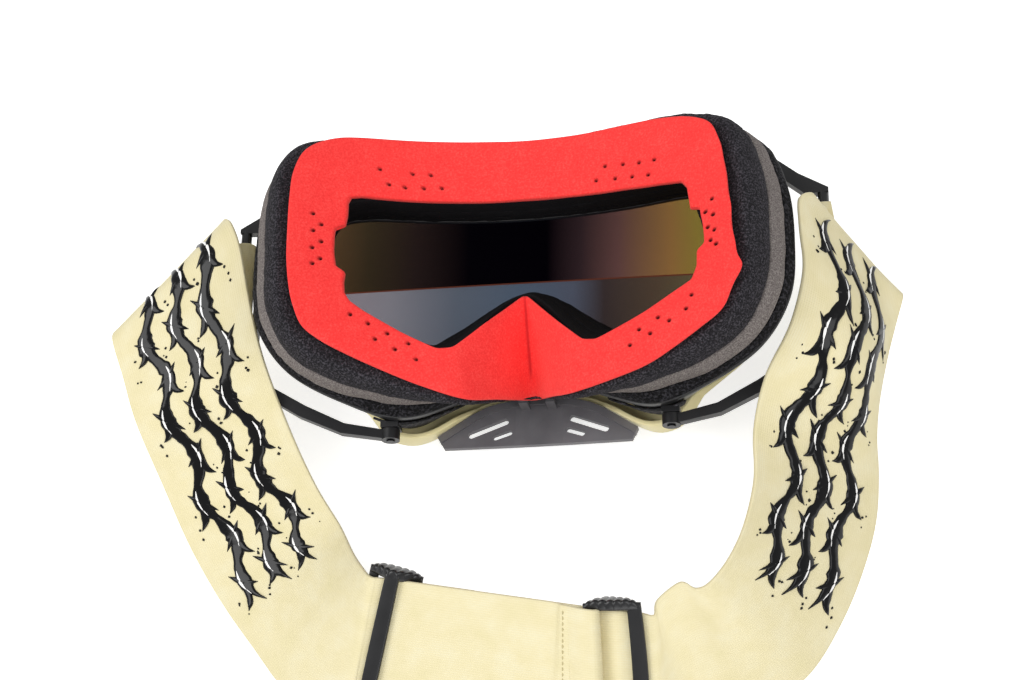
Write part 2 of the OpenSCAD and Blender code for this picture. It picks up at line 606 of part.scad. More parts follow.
// A point of the strap: v across it from the lower edge, h above its middle
function strap_spot(path, i, v, h, side) = mix(path[i][0], path[i][1], v)
    + (h + arch_on(v) * path[i][2]) * path_out(path, i, side);
function strap_point(path, i, v, h, side) = let (k = min(floor(i), len(path) - 2))
    mix(strap_spot(path, k, v, h, side), strap_spot(path, k + 1, v, h, side), i - k);
function strap_row(path, i, v0, v1, n, h0, h1, side) = concat(
    [for (k = [0 : n]) strap_point(path, i, mix(v0, v1, k / n), h1, side)],
    [for (k = [n : -1 : 0]) strap_point(path, i, mix(v0, v1, k / n), h0, side)]);
module strap(path, side) run_solid([for (i = [0 : len(path) - 1])
    strap_row(path, i, 0, 1, cells, -strap_t / 2, strap_t / 2, side)], side > 0);
module strap_left() color(cream) laid() strap(left_path, -1);
module strap_right() color(cream) laid() strap(right_path, 1);

// Three silicone lines on the inner face keep the strap from slipping on a helmet
print_gap = 0.35;
grip_first = 39;
grip_last = 52;
grip_w = 0.07;
module strap_grip(path, side) for (v = [0.25, 0.5, 0.75])
    run_solid([for (i = [grip_first : grip_last])
        strap_row(path, i, v - grip_w / 2, v + grip_w / 2, 1, -strap_t / 2 - print_gap - print_t,
            -strap_t / 2 - print_gap, side)], side > 0);
module strap_grip_left() color("#2b2b2d") laid() strap_grip(left_path, -1);
module strap_grip_right() color("#2b2b2d") laid() strap_grip(right_path, 1);

// Raised claw strokes in a row on the outer face: first station, length and reach across
print_first = 27;
stroke_n = 7;
stroke_w = 0.05;
function stroke_v(k, t) = mix(0.2 + 0.06 * (k % 3), 0.72 + 0.05 * ((k + 1) % 3), t);
module strap_print(path, side) for (k = [0 : stroke_n - 1])
    run_solid([for (j = [0 : 0.5 : 3]) let (t = j / 3, v = stroke_v(k, t),
            w = stroke_w * (1 - 0.6 * t), i = print_first + 3 * k + j)
        strap_row(path, i, v - w, v + w, 1, strap_t / 2 + print_gap,
            strap_t / 2 + print_gap + print_t, side)], side > 0);
module strap_print_left() color("#141416") laid() strap_print(left_path, -1);
module strap_print_right() color("#141416") laid() strap_print(right_path, 1);

// Sliders

// Room for the strap between the rails, which it crosses at a slant
slider_room = 4.4;
rail_w = 2.2;
bar_w = 3;
module slider(center, turned, heights) {
    span = strap_w + slider_room;
    half_t = slider_t / 2;
    rail_end = bar_pitch + bar_w / 2;
    multmatrix([[along[0], across[0], outside[0], first_slider[0]],
        [along[1], across[1], outside[1], first_slider[1]],
        [along[2], across[2], outside[2], first_slider[2]], [0, 0, 0, 1]])
    translate([center, 0, 0]) rotate([0, 0, -turned]) {
        for (k = [0 : 2])
            translate([(k - 1) * bar_pitch - bar_w / 2, -span / 2 - rail_w, heights[k] - half_t])
            cube([bar_w, span + 2 * rail_w, slider_t]);
        for (e = [-1, 1])
            translate([0, e * (span + rail_w) / 2 + rail_w / 2, 0]) rotate([90, 0, 0])
            linear_extrude(rail_w) polygon([[-rail_end, heights[0] - half_t],
                [-bar_w / 2, min(heights) - half_t], [rail_end, heights[2] - half_t],
                [rail_end, heights[2] + half_t], [bar_w / 2, max(heights) + half_t],
                [-bar_w / 2, max(heights) + half_t], [-rail_end, heights[0] + half_t]]);
    }
}
module slider_left() color("#111113") laid()
    slider(0, left_skew, [-half_bar, half_bar, right_layer - half_bar]);
module slider_right() color("#111113") laid()
    slider(slider_pitch, right_skew, [half_bar, right_layer - half_bar, right_layer + half_bar]);

outer_frame();
inner_frame();
lens();
lens_seal();
foam_base();
foam_middle();
foam_top();
face_fleece();
vent_foam_top();
vent_foam_low();
nose_guard();
arm_clips();
hinge_pins();
outrigger_left();
outrigger_right();
tear_off_posts();
strap_left();
strap_right();
strap_grip_left();
strap_grip_right();
strap_print_left();
strap_print_right();
slider_left();
slider_right();
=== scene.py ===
"""Motocross goggles lying lens down on a pale table, foam side up, with their elastic strap
looped in front of them."""

import bmesh
import bpy
import numpy as np
from mathutils import Matrix


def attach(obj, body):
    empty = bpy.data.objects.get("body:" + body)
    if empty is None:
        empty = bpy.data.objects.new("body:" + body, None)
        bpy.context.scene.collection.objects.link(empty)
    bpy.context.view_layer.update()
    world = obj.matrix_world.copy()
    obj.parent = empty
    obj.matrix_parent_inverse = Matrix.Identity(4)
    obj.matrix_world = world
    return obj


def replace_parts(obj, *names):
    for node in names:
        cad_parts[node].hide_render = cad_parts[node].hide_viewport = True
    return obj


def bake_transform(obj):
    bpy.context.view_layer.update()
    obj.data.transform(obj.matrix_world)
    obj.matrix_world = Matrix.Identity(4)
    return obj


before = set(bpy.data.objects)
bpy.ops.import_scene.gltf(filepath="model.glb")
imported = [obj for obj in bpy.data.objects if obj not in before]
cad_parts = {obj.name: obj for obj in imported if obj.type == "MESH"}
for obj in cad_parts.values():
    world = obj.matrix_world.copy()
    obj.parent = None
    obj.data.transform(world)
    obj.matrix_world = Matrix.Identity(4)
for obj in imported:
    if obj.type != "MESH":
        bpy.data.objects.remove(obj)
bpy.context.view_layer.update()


# Camera.
# It looks down on the goggles at 64 degrees, from the nose side and a little to the right, and is
# turned so that they lean in the picture. Its lens is that of a short telephoto.
MM = 0.001
goggle_at = np.array([9.92, 31.59, 1.6])
around, height, lean = np.radians([22, 64, -23.5])
toward = np.array([np.sin(around) * np.cos(height), -np.cos(around) * np.cos(height), np.sin(height)])
level = np.array([np.cos(around), np.sin(around), 0])
steep = np.cross(toward, level)
view_right = np.cos(lean) * level + np.sin(lean) * steep
view_up = -np.sin(lean) * level + np.cos(lean) * steep
look_at, distance = goggle_at + [-5, 0, 30], 650


def facing(right, up, back, at):
    """Matrix that turns an object's own axes to these three and puts it at a place."""
    matrix = np.eye(4)
    matrix[:3] = np.column_stack([right, up, back, at])
    return Matrix(matrix.tolist())


camera = bpy.data.objects.new("camera", bpy.data.cameras.new("camera"))
bpy.context.scene.collection.objects.link(camera)
camera.data.sensor_width = 36
camera.data.lens = 69.93
camera.data.clip_end = 20
camera.matrix_world = facing(view_right, view_up, toward, (look_at + distance * toward) * MM)
bpy.context.scene.camera = camera


# Lens.
# One sheet of 1.2 mm polycarbonate, cut out flat and bent to a cylinder of 105 mm radius. It is
# tinted a smoky brown, and olive to purple reflections and shade are painted into its colour.
lens_r, lens_t, lens_y = 105.0, 1.2, 22.75
lens_half_w, lens_half_h = 83.5, 43.25
lens_half = np.array([[0, 1], [.24, 1], [.48, .99], [.72, .9], [.92, .64], [.985, .29], [1, -.06],
                      [.965, -.45], [.85, -.72], [.665, -.87], [.51, -1], [.25, -.695], [0, -.605]])


def cubics(a, b, c, d, steps):
    """Cubic curves from each b to its c, in this many steps: the slope at b is half the chord from
    a to c, and at c half the one from b to d."""
    t = (np.arange(steps) / steps)[None, :, None]
    curve = .5 * (2 * b + (c - a) * t + (2 * a - 5 * b + 4 * c - d) * t ** 2
                  + (3 * b - a - 3 * c + d) * t ** 3)
    return curve.reshape(-1, curve.shape[-1])


def closed_curve(points, steps):
    """Smooth closed curve through all points, one cubic from each to the next."""
    p = np.asarray(points, float)
    return cubics(*(np.roll(p, k, 0)[:, None] for k in (1, 0, -1, -2)), steps)


def mirrored(right):
    """Right half of an outline, from the brow to the nose, and its mirror image back to the brow."""
    left = right[-2:0:-1].copy()
    left[:, 0] *= -1
    return np.vstack([right, left])


def outward(curve):
    """Unit normals of a closed flat curve: the step between a point's neighbours, turned left."""
    d = np.roll(curve, -1, 0) - np.roll(curve, 1, 0)
    n = np.column_stack([-d[:, 1], d[:, 0]])
    return n / np.linalg.norm(n, axis=1)[:, None]


def bent(s, y, h):
    """Point h behind the front of the bent sheet: the arc length s becomes the angle s / radius."""
    a = s / lens_r
    return np.stack([(lens_r - h) * np.sin(a), y + 0 * a, lens_r - (lens_r - h) * np.cos(a)], -1)


flat_half = np.column_stack([lens_r * np.arcsin(lens_half[:, 0] * lens_half_w / lens_r),
                             lens_y + lens_half[:, 1] * lens_half_h])
lens_edge = closed_curve(mirrored(flat_half), 24)
lens_normal = outward(lens_edge)


def rim(out, h):
    """Points beside the lens edge: out along the sheet away from it, and h towards the face."""
    q = lens_edge + np.reshape(out, (-1, 1)) * lens_normal
    return bent(q[:, 0], q[:, 1], h)


def build(name, points, faces, uv=None, at=goggle_at):
    """Mesh object from points in mm and faces. Its faces are turned to point outwards if the
    volume that they enclose comes out negative, and it is placed at the part's origin."""
    points = (np.asarray(points, float).reshape(-1, 3) + at) * MM
    tris = np.array([f[:3] for f in faces] + [[f[0], f[2], f[3]] for f in faces])
    centre = points.mean(0)
    a, b, c = (points[tris[:, k]] - centre for k in range(3))
    if np.einsum("ij,ij->i", a, np.cross(b, c)).sum() < 0:
        faces = [f[::-1] for f in faces]
        uv = [w[::-1] for w in uv] if uv is not None else None
    mesh = bpy.data.meshes.new(name)
    mesh.from_pydata(points.tolist(), [], faces)
    if uv is not None:
        layer = mesh.uv_layers.new(name="UVMap")
        layer.data.foreach_set("uv", np.concatenate([np.ravel(w) for w in uv]).astype(np.float32))
    mesh.polygons.foreach_set("use_smooth", np.full(len(mesh.polygons), True))
    mesh.update()
    piece = bpy.data.objects.new(name, mesh)
    bpy.context.scene.collection.objects.link(piece)
    return piece


def grid_faces(nu, nv, close_u, close_v, caps, first=0):
    """Faces over nu by nv points that are numbered from first: point (i, j) and its next
    neighbours both ways make one face. close_u and close_v join the last row to the first, and
    caps closes a tube's two ends."""
    i, j = np.meshgrid(np.arange(nu - (not close_u)), np.arange(nv - (not close_v)), indexing="ij")
    i, j = i.ravel(), j.ravel()
    i2, j2 = (i + 1) % nu, (j + 1) % nv
    faces = (first + np.column_stack([i * nv + j, i * nv + j2, i2 * nv + j2, i2 * nv + j])).tolist()
    if caps:
        last = first + (nu - 1) * nv
        faces += [list(range(first, first + nv))[::-1], list(range(last, last + nv))]
    return faces


def surface(name, grid, close_u=False, close_v=False, caps=False, uv=None, at=goggle_at):
    """Mesh over a grid of points. uv is for a capped tube, and has one place more round it."""
    nu, nv = grid.shape[:2]
    corners = None
    if uv is not None:
        corners = np.stack([uv[:-1, :-1], uv[:-1, 1:], uv[1:, 1:], uv[1:, :-1]], 2).reshape(-1, 4, 2)
        corners = [*corners, uv[0, :nv][::-1], uv[-1, :nv]]
    return build(name, grid, grid_faces(nu, nv, close_u, close_v, caps), corners, at)


def colour(code):
    """Linear colour of an sRGB hex value: the power law of the standard, above its straight foot."""
    c = np.array([int(code[k:k + 2], 16) for k in (1, 3, 5)]) / 255
    return (*np.where(c <= 0.04045, c / 12.92, ((c + 0.055) / 1.055) ** 2.4), 1.0)


def node(tree, kind, values=None, links=None, **settings):
    """Adds one shader node with its settings, socket values and incoming links. A link comes from
    a socket, or from a node's first output."""
    made = tree.nodes.new("ShaderNode" + kind)
    for key, value in settings.items():
        setattr(made, key, value)
    for key, value in (values or {}).items():
        made.inputs[key].default_value = value
    for key, source in (links or {}).items():
        output = source.outputs[0] if isinstance(source, bpy.types.Node) else source
        tree.links.new(output, made.inputs[key])
    return made


def start_material(name):
    """Empty node material and its tree."""
    material = bpy.data.materials.new(name)
    material.use_nodes = True
    material.node_tree.nodes.clear()
    return material, material.node_tree


def ramp(tree, fac, stops):
    """Colour ramp node from (place, colour) stops."""
    made = node(tree, "ValToRGB", links={"Fac": fac})
    band = made.color_ramp
    while len(band.elements) > 1:
        band.elements.remove(band.elements[-1])
    band.elements[0].position, band.elements[0].color = stops[0]
    for place, shade in stops[1:]:
        band.elements.new(place).color = shade
    return made


def dress(piece, material, body, slot, *stands_for):
    """Gives a piece its material, the body that it rides on and the nodes it replaces; slot is not used."""
    piece.data.materials.append(material)
    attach(piece, body)
    if stands_for:
        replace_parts(piece, *stands_for)


# the sheet runs from the middle of its front face to the edge, round it, and back to the middle
middle = lens_edge.mean(0)
inwards = np.linspace(.97, .04, 26)
reach = np.concatenate([inwards[::-1], [.985, .995, 1, 1, .995, .985], inwards])
depth = np.concatenate([np.zeros(27), [.12, .35, .85, 1.08], np.full(27, lens_t)])
spread = middle + reach[:, None, None] * (lens_edge[None, ::2] - middle)
lens = surface("lens", bent(spread[..., 0], spread[..., 1], depth[:, None]), close_v=True, caps=True)

lens_material, tree = start_material("smoke polycarbonate with painted reflections")
place = node(tree, "TexCoord").outputs["Object"]
axis = node(tree, "SeparateXYZ", links={"Vector": place})
# above a straight line, painted shade and reflection: olive gold at both ends and purple black in
# the middle, where the table under the lens lies in shade; below it, a painted reflection of the
# bright surroundings, smoky blue on the left and olive brown on the right; the line is painted reddish
sideways = node(tree, "MapRange", {"From Min": -.06, "From Max": .075}, {"Value": axis.outputs["X"]})
upper = ramp(tree, sideways, [
    (0, colour("#55402b")), (.09, colour("#3a3022")), (.2, colour("#2c2120")), (.33, colour("#07050b")),
    (.53, colour("#050309")), (.62, colour("#3c2c30")), (.72, colour("#704f4c")), (.86, colour("#9a7444")),
    (.93, colour("#92803c")), (1, colour("#827c3e"))])
lower = ramp(tree, sideways, [
    (0, colour("#968b94")), (.14, colour("#908e97")), (.3, colour("#6c7482")), (.46, colour("#5d6b7e")),
    (.6, colour("#5d6272")), (.68, colour("#453a3a")), (.82, colour("#5c4c3e")), (.92, colour("#665d44")),
    (1, colour("#6f6b42"))])
tilt = node(tree, "Math", {1: .0125}, {0: axis.outputs["X"], 2: axis.outputs["Y"]}, operation="MULTIPLY_ADD")
from_line = node(tree, "Math", {1: .497}, {0: axis.outputs["Z"], 2: tilt}, operation="MULTIPLY_ADD")
line_at = .0674
above = node(tree, "MapRange", {"From Min": line_at - .0002, "From Max": line_at + .0002},
             {"Value": from_line})
on_line = node(tree, "Math", {1: line_at, 2: .00028}, {0: from_line}, operation="COMPARE")
# painted reflection and painted shade, by place on the lens: upper colours above the line, lower ones below
painted_reflection = node(tree, "MixRGB", links={0: above, 1: lower, 2: upper})
painted_reflection_and_line = node(tree, "MixRGB", {2: colour("#6b3a2b")}, {0: on_line, 1: painted_reflection})
haze = node(tree, "TexNoise", {"Scale": 60.0, "Detail": 2.0}, {"Vector": place})
rough = node(tree, "MapRange", {"To Min": .16, "To Max": .24}, {"Value": haze})
film_with_painted_reflection = node(tree, "BsdfPrincipled", {"IOR": 1.35, "Specular IOR Level": .2},
            {"Base Color": painted_reflection_and_line, "Roughness": rough})
# light crosses two faces of the sheet, so each face takes the square root of the painted colour
each_face = node(tree, "Gamma", {"Gamma": .5}, {"Color": painted_reflection_and_line})
see_through = node(tree, "BsdfTransparent", links={"Color": each_face})
body_mix = node(tree, "MixShader", {0: .8}, {1: film_with_painted_reflection, 2: see_through})
node(tree, "OutputMaterial", links={"Surface": body_mix})
dress(lens, lens_material, "goggle", "lens", "lens")


# Lens seal.
# A flat rubber ring, glued into the seat of the inner frame, on which the lens presses.
def rounded(section, radius, steps=4):
    """Rounds the corners of a closed section at every station: each corner becomes a parabola
    between two points of its edges, radius away from it or less on a short edge."""
    before, after = np.roll(section, 1, 1), np.roll(section, -1, 1)
    def stub(other):
        d = other - section
        length = np.linalg.norm(d, axis=2, keepdims=True)
        cut = np.minimum(np.reshape(radius, (1, -1, 1)), .45 * length)
        return section + d / np.maximum(length, 1e-9) * cut
    a, b = stub(before)[:, :, None], stub(after)[:, :, None]
    t = np.linspace(0, 1, steps)[None, None, :, None]
    made = (1 - t) ** 2 * a + 2 * t * (1 - t) * section[:, :, None] + t ** 2 * b
    return made.reshape(len(section), -1, 3)


def ring(name, parts, radius, steps=4):
    """Closed ring whose corners run along these lines, each rounded to its radius."""
    return surface(name, rounded(np.stack(parts, 1), radius, steps), True, True)


seal = ring("lens_seal", [rim(-1, 1.3), rim(-1, 1.9), rim(-3.1, 1.9), rim(-3.1, 1.3)], .2, steps=2)
rubber, tree = start_material("black seal rubber")
skin = node(tree, "BsdfPrincipled", {"Base Color": colour("#111112"), "Roughness": 0.75})
node(tree, "OutputMaterial", links={"Surface": skin})
dress(seal, rubber, "goggle", "rubber", "lens_seal")


# Outer frame.
# A cream shell injection moulded in soft polyurethane. It holds the lens by a lip in front, and
# shows from behind only as two chevrons on the cheeks and a thin arc over the nose guard.
edge_x, edge_y = rim(0, 0)[:, 0], rim(0, 0)[:, 1]
# its wall is full in the middle, fades out towards the temples and gives way to the nose guard
wall_t, wall_end, wall_fade = 1.6, 63.96, 21.96
deep = np.clip((wall_end - abs(edge_x)) / wall_fade, 0, 1)
nose_near = np.where(edge_y < 0, np.clip((32.5 - abs(edge_x)) / 8, 0, 1), 0)
low_side = np.where(edge_y < 12, np.clip((abs(edge_x) - 47) / 8, 0, 1), 0)
wall_h = .2 + 7.8 * deep - 4.6 * nose_near
wall_out = 3.8 + 2.7 * deep - 2.2 * low_side
wall_in = wall_out - wall_t
outer = ring("outer_frame", [rim(-3, -wall_t), rim(wall_out - 1.5, -wall_t), rim(wall_out, -.5),
                             rim(wall_out, wall_h), rim(wall_in, wall_h), rim(wall_in, -.1),
                             rim(-3, -.1)], .45)

cream_shell, tree = start_material("cream moulded polyurethane")
place = node(tree, "TexCoord").outputs["Object"]
# a fine spark-eroded grain of about 0.3 mm, and a faint cloudiness in the colour
grain = node(tree, "TexNoise", {"Scale": 3200.0, "Detail": 2.0}, {"Vector": place})
cloud = node(tree, "TexNoise", {"Scale": 60.0, "Detail": 2.0}, {"Vector": place})
shade = ramp(tree, cloud, [(.3, colour("#f3e6ac")), (.7, colour("#fbf0bc"))])
relief = node(tree, "Bump", {"Strength": .15, "Distance": .0001}, {"Height": grain})
skin = node(tree, "BsdfPrincipled", {"Roughness": .42, "IOR": 1.5},
            {"Base Color": shade, "Normal": relief})
node(tree, "OutputMaterial", links={"Surface": skin})
dress(outer, cream_shell, "goggle", "cream_frame", "outer_frame")


# Inner frame.
# Black moulded nylon: a flange for the foam, walls down to the lens seat and a glossy lip round
# the window. Its outer rim shows as a thin black line beside the foam.
def saddle_ring(half, half_w, top, low, z, rise, rise_w, drops):
    """Closed outline in space: shares of the half width and height, on a saddle that rises with
    the square of the distance from the middle, less a drop at the points beside the nose."""
    half = np.array(half, float)
    x = half[:, 0] * half_w
    fall = np.concatenate([np.zeros(len(half) - len(drops)), drops])
    right = np.column_stack([x, (top + low) / 2 + half[:, 1] * (top - low) / 2,
                             z + rise * (x / rise_w) ** 2 - fall])
    return closed_curve(mirrored(right), 24)


flange_w, flange_z, flange_rise = 88.5, 24, 24.54
flange = saddle_ring([[0, 1], [.225, 1], [.465, .99], [.71, .93], [.905, .7], [.985, .34], [1, -.05],
                      [.977, -.41], [.87, -.69], [.68, -.86], [.475, -.95], [.27, -.8], [0, -.54]],
                     flange_w, 73, -27.5, flange_z, flange_rise, flange_w, [0, 0, 4, 8])
port = saddle_ring([[0, 1], [.25, 1], [.51, .995], [.81, .97], [.945, .82], [.985, .4], [1, -.1],
                    [.95, -.63], [.82, -.92], [.655, -1], [.49, -.84], [.36, -.59], [0, -.02]],
                   67, 47, -4, flange_z, flange_rise, flange_w, [0, 0, 1, 3])
down = np.array([0, 0, 2.0])
under_out, under_in = flange - down, port - down
wall_top = under_in + .6 * (under_out - under_in)
inner = ring("inner_frame", [rim(1, 2), under_out, flange, port, under_in, wall_top, rim(-1, 4.8),
                             rim(-3.5, 4), rim(-3.5, 2)], [.3, .7, .7, .8, .8, 1, 1, .8, .4], steps=5)

black_nylon, tree = start_material("black moulded nylon")
place = node(tree, "TexCoord").outputs["Object"]
# moulded with a fine satin grain of about 0.25 mm; a few softer patches break up the gloss
grain = node(tree, "TexNoise", {"Scale": 4000.0, "Detail": 2.0}, {"Vector": place})
patch = node(tree, "TexNoise", {"Scale": 90.0, "Detail": 3.0}, {"Vector": place})
rough = node(tree, "MapRange", {"To Min": .3, "To Max": .46}, {"Value": patch})
relief = node(tree, "Bump", {"Strength": .12, "Distance": .0001}, {"Height": grain})
skin = node(tree, "BsdfPrincipled", {"Base Color": colour("#18181a"), "IOR": 1.5},
            {"Roughness": rough, "Normal": relief})
node(tree, "OutputMaterial", links={"Surface": skin})
dress(inner, black_nylon, "goggle", "black_frame", "inner_frame")


# Vent foam.
# Strips of coarse black filter foam glued over the vents at the brow and on the cheeks, between
# the flange and the outer frame. They keep dust out and let air in.
def level_normals(line):
    """Unit normals of a closed line in space that point outwards, level with the table."""
    return np.column_stack([outward(line[:, :2]), np.zeros(len(line))])


def vent_strip(name, stations, gap, thick, share_high):
    """Slab along the frame's sloping wall, from 0.45 of its height to a higher share."""
    low, high = rim(1, 2)[stations], (flange - down)[stations]
    side = level_normals(flange)[stations]
    a, b = low + .45 * (high - low), low + share_high * (high - low)
    rows = [a + gap * side, b + gap * side, b + (gap + thick) * side, a + (gap + thick) * side]
    return surface(name, rounded(np.stack(rows, 1), .5), close_v=True, caps=True)


filter_foam, tree = start_material("coarse filter foam")
place = node(tree, "TexCoord").outputs["Object"]
# open cells of about 1 mm: painted shade in the pits and painted glints on the struts
cells = node(tree, "TexVoronoi", {"Scale": 1000.0}, {"Vector": place})
shade = ramp(tree, cells, [(.1, colour("#0c0c0d")), (.65, colour("#2b2a2c")), (.9, colour("#55535a"))])
relief = node(tree, "Bump", {"Strength": .9, "Distance": .0005}, {"Height": cells})
skin = node(tree, "BsdfPrincipled", {"Roughness": .9}, {"Base Color": shade, "Normal": relief})
node(tree, "OutputMaterial", links={"Surface": skin})
for name, cad, stations, gap, thick, share_high in (
        ("brow", "top", np.arange(-42, 43), .5, 2, .9),
        ("cheek_right", "low", np.arange(228, 262), .3, .9, .85),
        ("cheek_left", "low", np.arange(315, 349), .3, .9, .85)):
    strip = vent_strip("vent_foam_" + name, stations % len(flange), gap, thick, share_high)
    dress(strip, filter_foam, "goggle", "vent_foam", "vent_foam_" + cad)


# Face foam.
# Three layers of open-cell polyurethane foam, glued into a stack and to the flange: a thin firm
# black base, a light grey layer and a thick soft charcoal layer, each cut to the frame's shape.
fleece_w, fleece_z, fleece_rise = 71, 48, 24.04
fleece_line = saddle_ring([[0, 1], [.25, 1], [.52, 1], [.775, .945], [.935, .765], [.99, .385], [1, .03],
                           [.985, -.36], [.9, -.66], [.7, -.8], [.465, -.91], [.235, -1], [0, -.76]],
                          fleece_w, 64, -27, fleece_z, fleece_rise, fleece_w, [0, 0, 2, 30])
eye_line = saddle_ring([[0, 1], [.28, 1], [.54, .99], [.8, .935], [.905, .77], [.95, .4], [1, -.08],
                        [.95, -.5], [.84, -.645], [.655, -.79], [.49, -.94], [.33, -1], [0, -.07]],
                       61, 42, -10.5, fleece_z, fleece_rise, fleece_w, [0, 0, 0, 13])
fleece_side = fleece_line + 2 * level_normals(fleece_line)


def ripple(points, size, seed):
    """Smooth unevenness, mostly from -1 to 1: a sum of sine waves in random directions, with a
    wavelength of about size."""
    waves = 14
    rng = np.random.default_rng(seed)
    turn = rng.normal(size=(waves, 3))
    turn *= (2 * np.pi / size * rng.uniform(.6, 1.4, waves) / np.linalg.norm(turn, axis=1))[:, None]
    return np.sin(points @ turn.T + rng.uniform(0, 6.28, waves)).sum(-1) / waves ** .5 / 1.4


def store(piece, name, values):
    """Stores a value from 0 to 1 at each point of a piece, which its material reads by name."""
    attribute = piece.data.attributes.new(name, "FLOAT", "POINT")
    attribute.data.foreach_set("value", values.ravel().astype(np.float32))


def foam_layer(name, start, end, bulge, seed, top_out=0.0, radius=.8):
    """One layer of the stack, between two shares of the way from the flange to the fleece. Its
    outer wall swells by bulge between its glued faces, and is slightly uneven. The attribute
    "window" is 1 on the wall round the window, where the material paints near black shade."""
    share = np.linspace(start, end, 9)
    swell = bulge * np.sin(np.pi * np.linspace(0, 1, 9))
    side = level_normals(flange)
    # at the brow the wall doesn't swell, and its upper edge steps in under the fleece
    brow = np.clip((flange[:, 1] - 60) / 8, 0, 1)[:, None]
    # the soft layers are wider than the frame at the left temple and narrower over the cheeks
    temple = np.exp(-((flange[:, 0] + 76) / 17) ** 2 - ((flange[:, 1] - 50) / 17) ** 2)[:, None]
    cheek = np.exp(-((abs(flange[:, 0]) - 40) / 17) ** 4)[:, None] * (flange[:, 1:2] < 5) * [0, 1, 0]
    wall = [flange + f * (fleece_side - brow * 1.8 * f * side - flange) + b * (1 - brow) * side
            + min(f / .2, 1) * (4.2 * temple * side + 3.4 * (1 - f) * cheek) for f, b in zip(share, swell)]
    back = [port + f * (eye_line - port) + [0, 0, .12] for f in (end, (start + end) / 2, start)]
    wall[-1] = wall[-1] + top_out * (back[0] - wall[-1])
    grid = rounded(np.stack(wall + back, 1), [radius] + [.2] * 7 + [radius] + [.5, .2, .5])
    for size, seed_more, depth in ((7, 0, .12), (2.2, 20, .07)):
        grid += ripple(grid, size, seed + seed_more)[..., None] * depth * np.array([1, 1, .4])
    layer = surface(name, grid, True, True)
    window = np.zeros(grid.shape[:2])
    window[:, -12:] = 1
    store(layer, "window", window)
    return layer


base = foam_layer("foam_base", .006, .165, .25, 3)
grey = foam_layer("foam_middle", .175, .45, .5, 4)
soft = foam_layer("foam_top", .46, .895, 1.1, 5, .03, 1.4)


def foam_and_painted_light(name, dark, mid, fleck, cell_mm, relief_mm):
    """Open-cell foam in cells of a real size, with painted shade in the pits and painted highlights on the
    struts, over a faint cloudiness.
    """
    material, tree = start_material(name)
    place = node(tree, "TexCoord").outputs["Object"]
    cells = node(tree, "TexNoise", {"Scale": 1000 / cell_mm, "Detail": 2.0, "Roughness": .6},
                 {"Vector": place})
    struts = node(tree, "TexVoronoi", {"Scale": 700 / cell_mm}, {"Vector": place})
    cloud = node(tree, "TexNoise", {"Scale": 70.0, "Detail": 3.0}, {"Vector": place})
    sharp = node(tree, "MapRange", {"From Min": .36, "From Max": .66}, {"Value": cells})
    shift = node(tree, "MapRange", {"To Min": -.12, "To Max": .12}, {"Value": cloud})
    tone = node(tree, "Math", links={0: sharp, 1: shift}, operation="ADD")
    # painted highlight: the struts are made pale where they would catch the light
    strut_painted_highlight = node(tree, "MapRange", {"From Min": .1, "From Max": .0, "To Max": .35}, {"Value": struts})
    lit = node(tree, "Math", links={0: tone, 1: strut_painted_highlight}, operation="ADD")
    shade = ramp(tree, lit, [(.1, colour(dark)), (.5, colour(mid)), (.95, colour(fleck))])
    window = node(tree, "Attribute", attribute_name="window")
    # painted shade: the wall round the window is coloured near black
    window_painted_shade = node(tree, "MixRGB", {2: colour("#161517")}, {0: window.outputs["Fac"], 1: shade})
    relief = node(tree, "Bump", {"Strength": .8, "Distance": relief_mm * MM}, {"Height": lit})
    skin = node(tree, "BsdfPrincipled", {"Roughness": .9, "Specular IOR Level": .15},
                {"Base Color": window_painted_shade, "Normal": relief})
    node(tree, "OutputMaterial", links={"Surface": skin})
    return material


# firm black foam with coarse 0.9 mm cells, so it looks rough and dark
dress(base, foam_and_painted_light("firm black foam", "#0a0a0b", "#19181b", "#39383c", .9, .5),
      "goggle", "base_foam", "foam_base")
# fine light grey foam whose 0.45 mm cells barely show
dress(grey, foam_and_painted_light("fine grey foam", "#615a58", "#79726f", "#918a86", .45, .15),
      "goggle", "grey_foam", "foam_middle")
# soft charcoal foam with 0.6 mm cells and pale flecks, painted highlights where struts catch the light
dress(soft, foam_and_painted_light("soft charcoal foam", "#1a191c", "#2a282c", "#4b484e", .6, .3),
      "goggle", "charcoal_foam", "foam_top")
for layer in (base, grey, soft):
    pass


# Fleece.
# Red brushed polyester fleece laminated to the foam and cut out with a die, so that its window
# has stepped notches at the temples. Vent holes are punched at the brow, temples and cheeks,
# and a seam joins its two flaps over the bridge of the nose.
fleece_out = np.array([
    [0, 64, 0], [20.5, 63.6, 0], [40.2, 63.2, 0], [53.5, 60.6, 0], [61.3, 56.6, 0], [66.2, 49.7, 0],
    [68.6, 38, 0], [69.9, 24.7, 0], [70.6, 12, 0], [71.2, 1.5, 0], [68.8, -6.5, 0], [65.8, -11.2, 0],
    [59, -14.8, 0], [50.5, -18.8, 0], [41.8, -22.4, 0], [30, -25, 0], [17, -26.4, 2.5], [9, -22, 14],
    [0, -16, 30], [-9, -22, 14], [-17, -26.4, 2.5], [-30, -23.4, 0], [-44.3, -18.1, 0],
    [-53, -14.6, 0], [-59.7, -11.5, 0], [-65, -7.6, 0], [-67.6, -2, 0], [-69.2, 4.5, 0],
    [-70.3, 14, 0], [-70.6, 24.2, 0], [-70.6, 36, 0], [-69.9, 46.1, 0], [-66.8, 54.8, 0],
    [-60, 60.4, 0], [-50.6, 62.9, 0], [-30.9, 64, 0], [-14, 64.3, 0]])
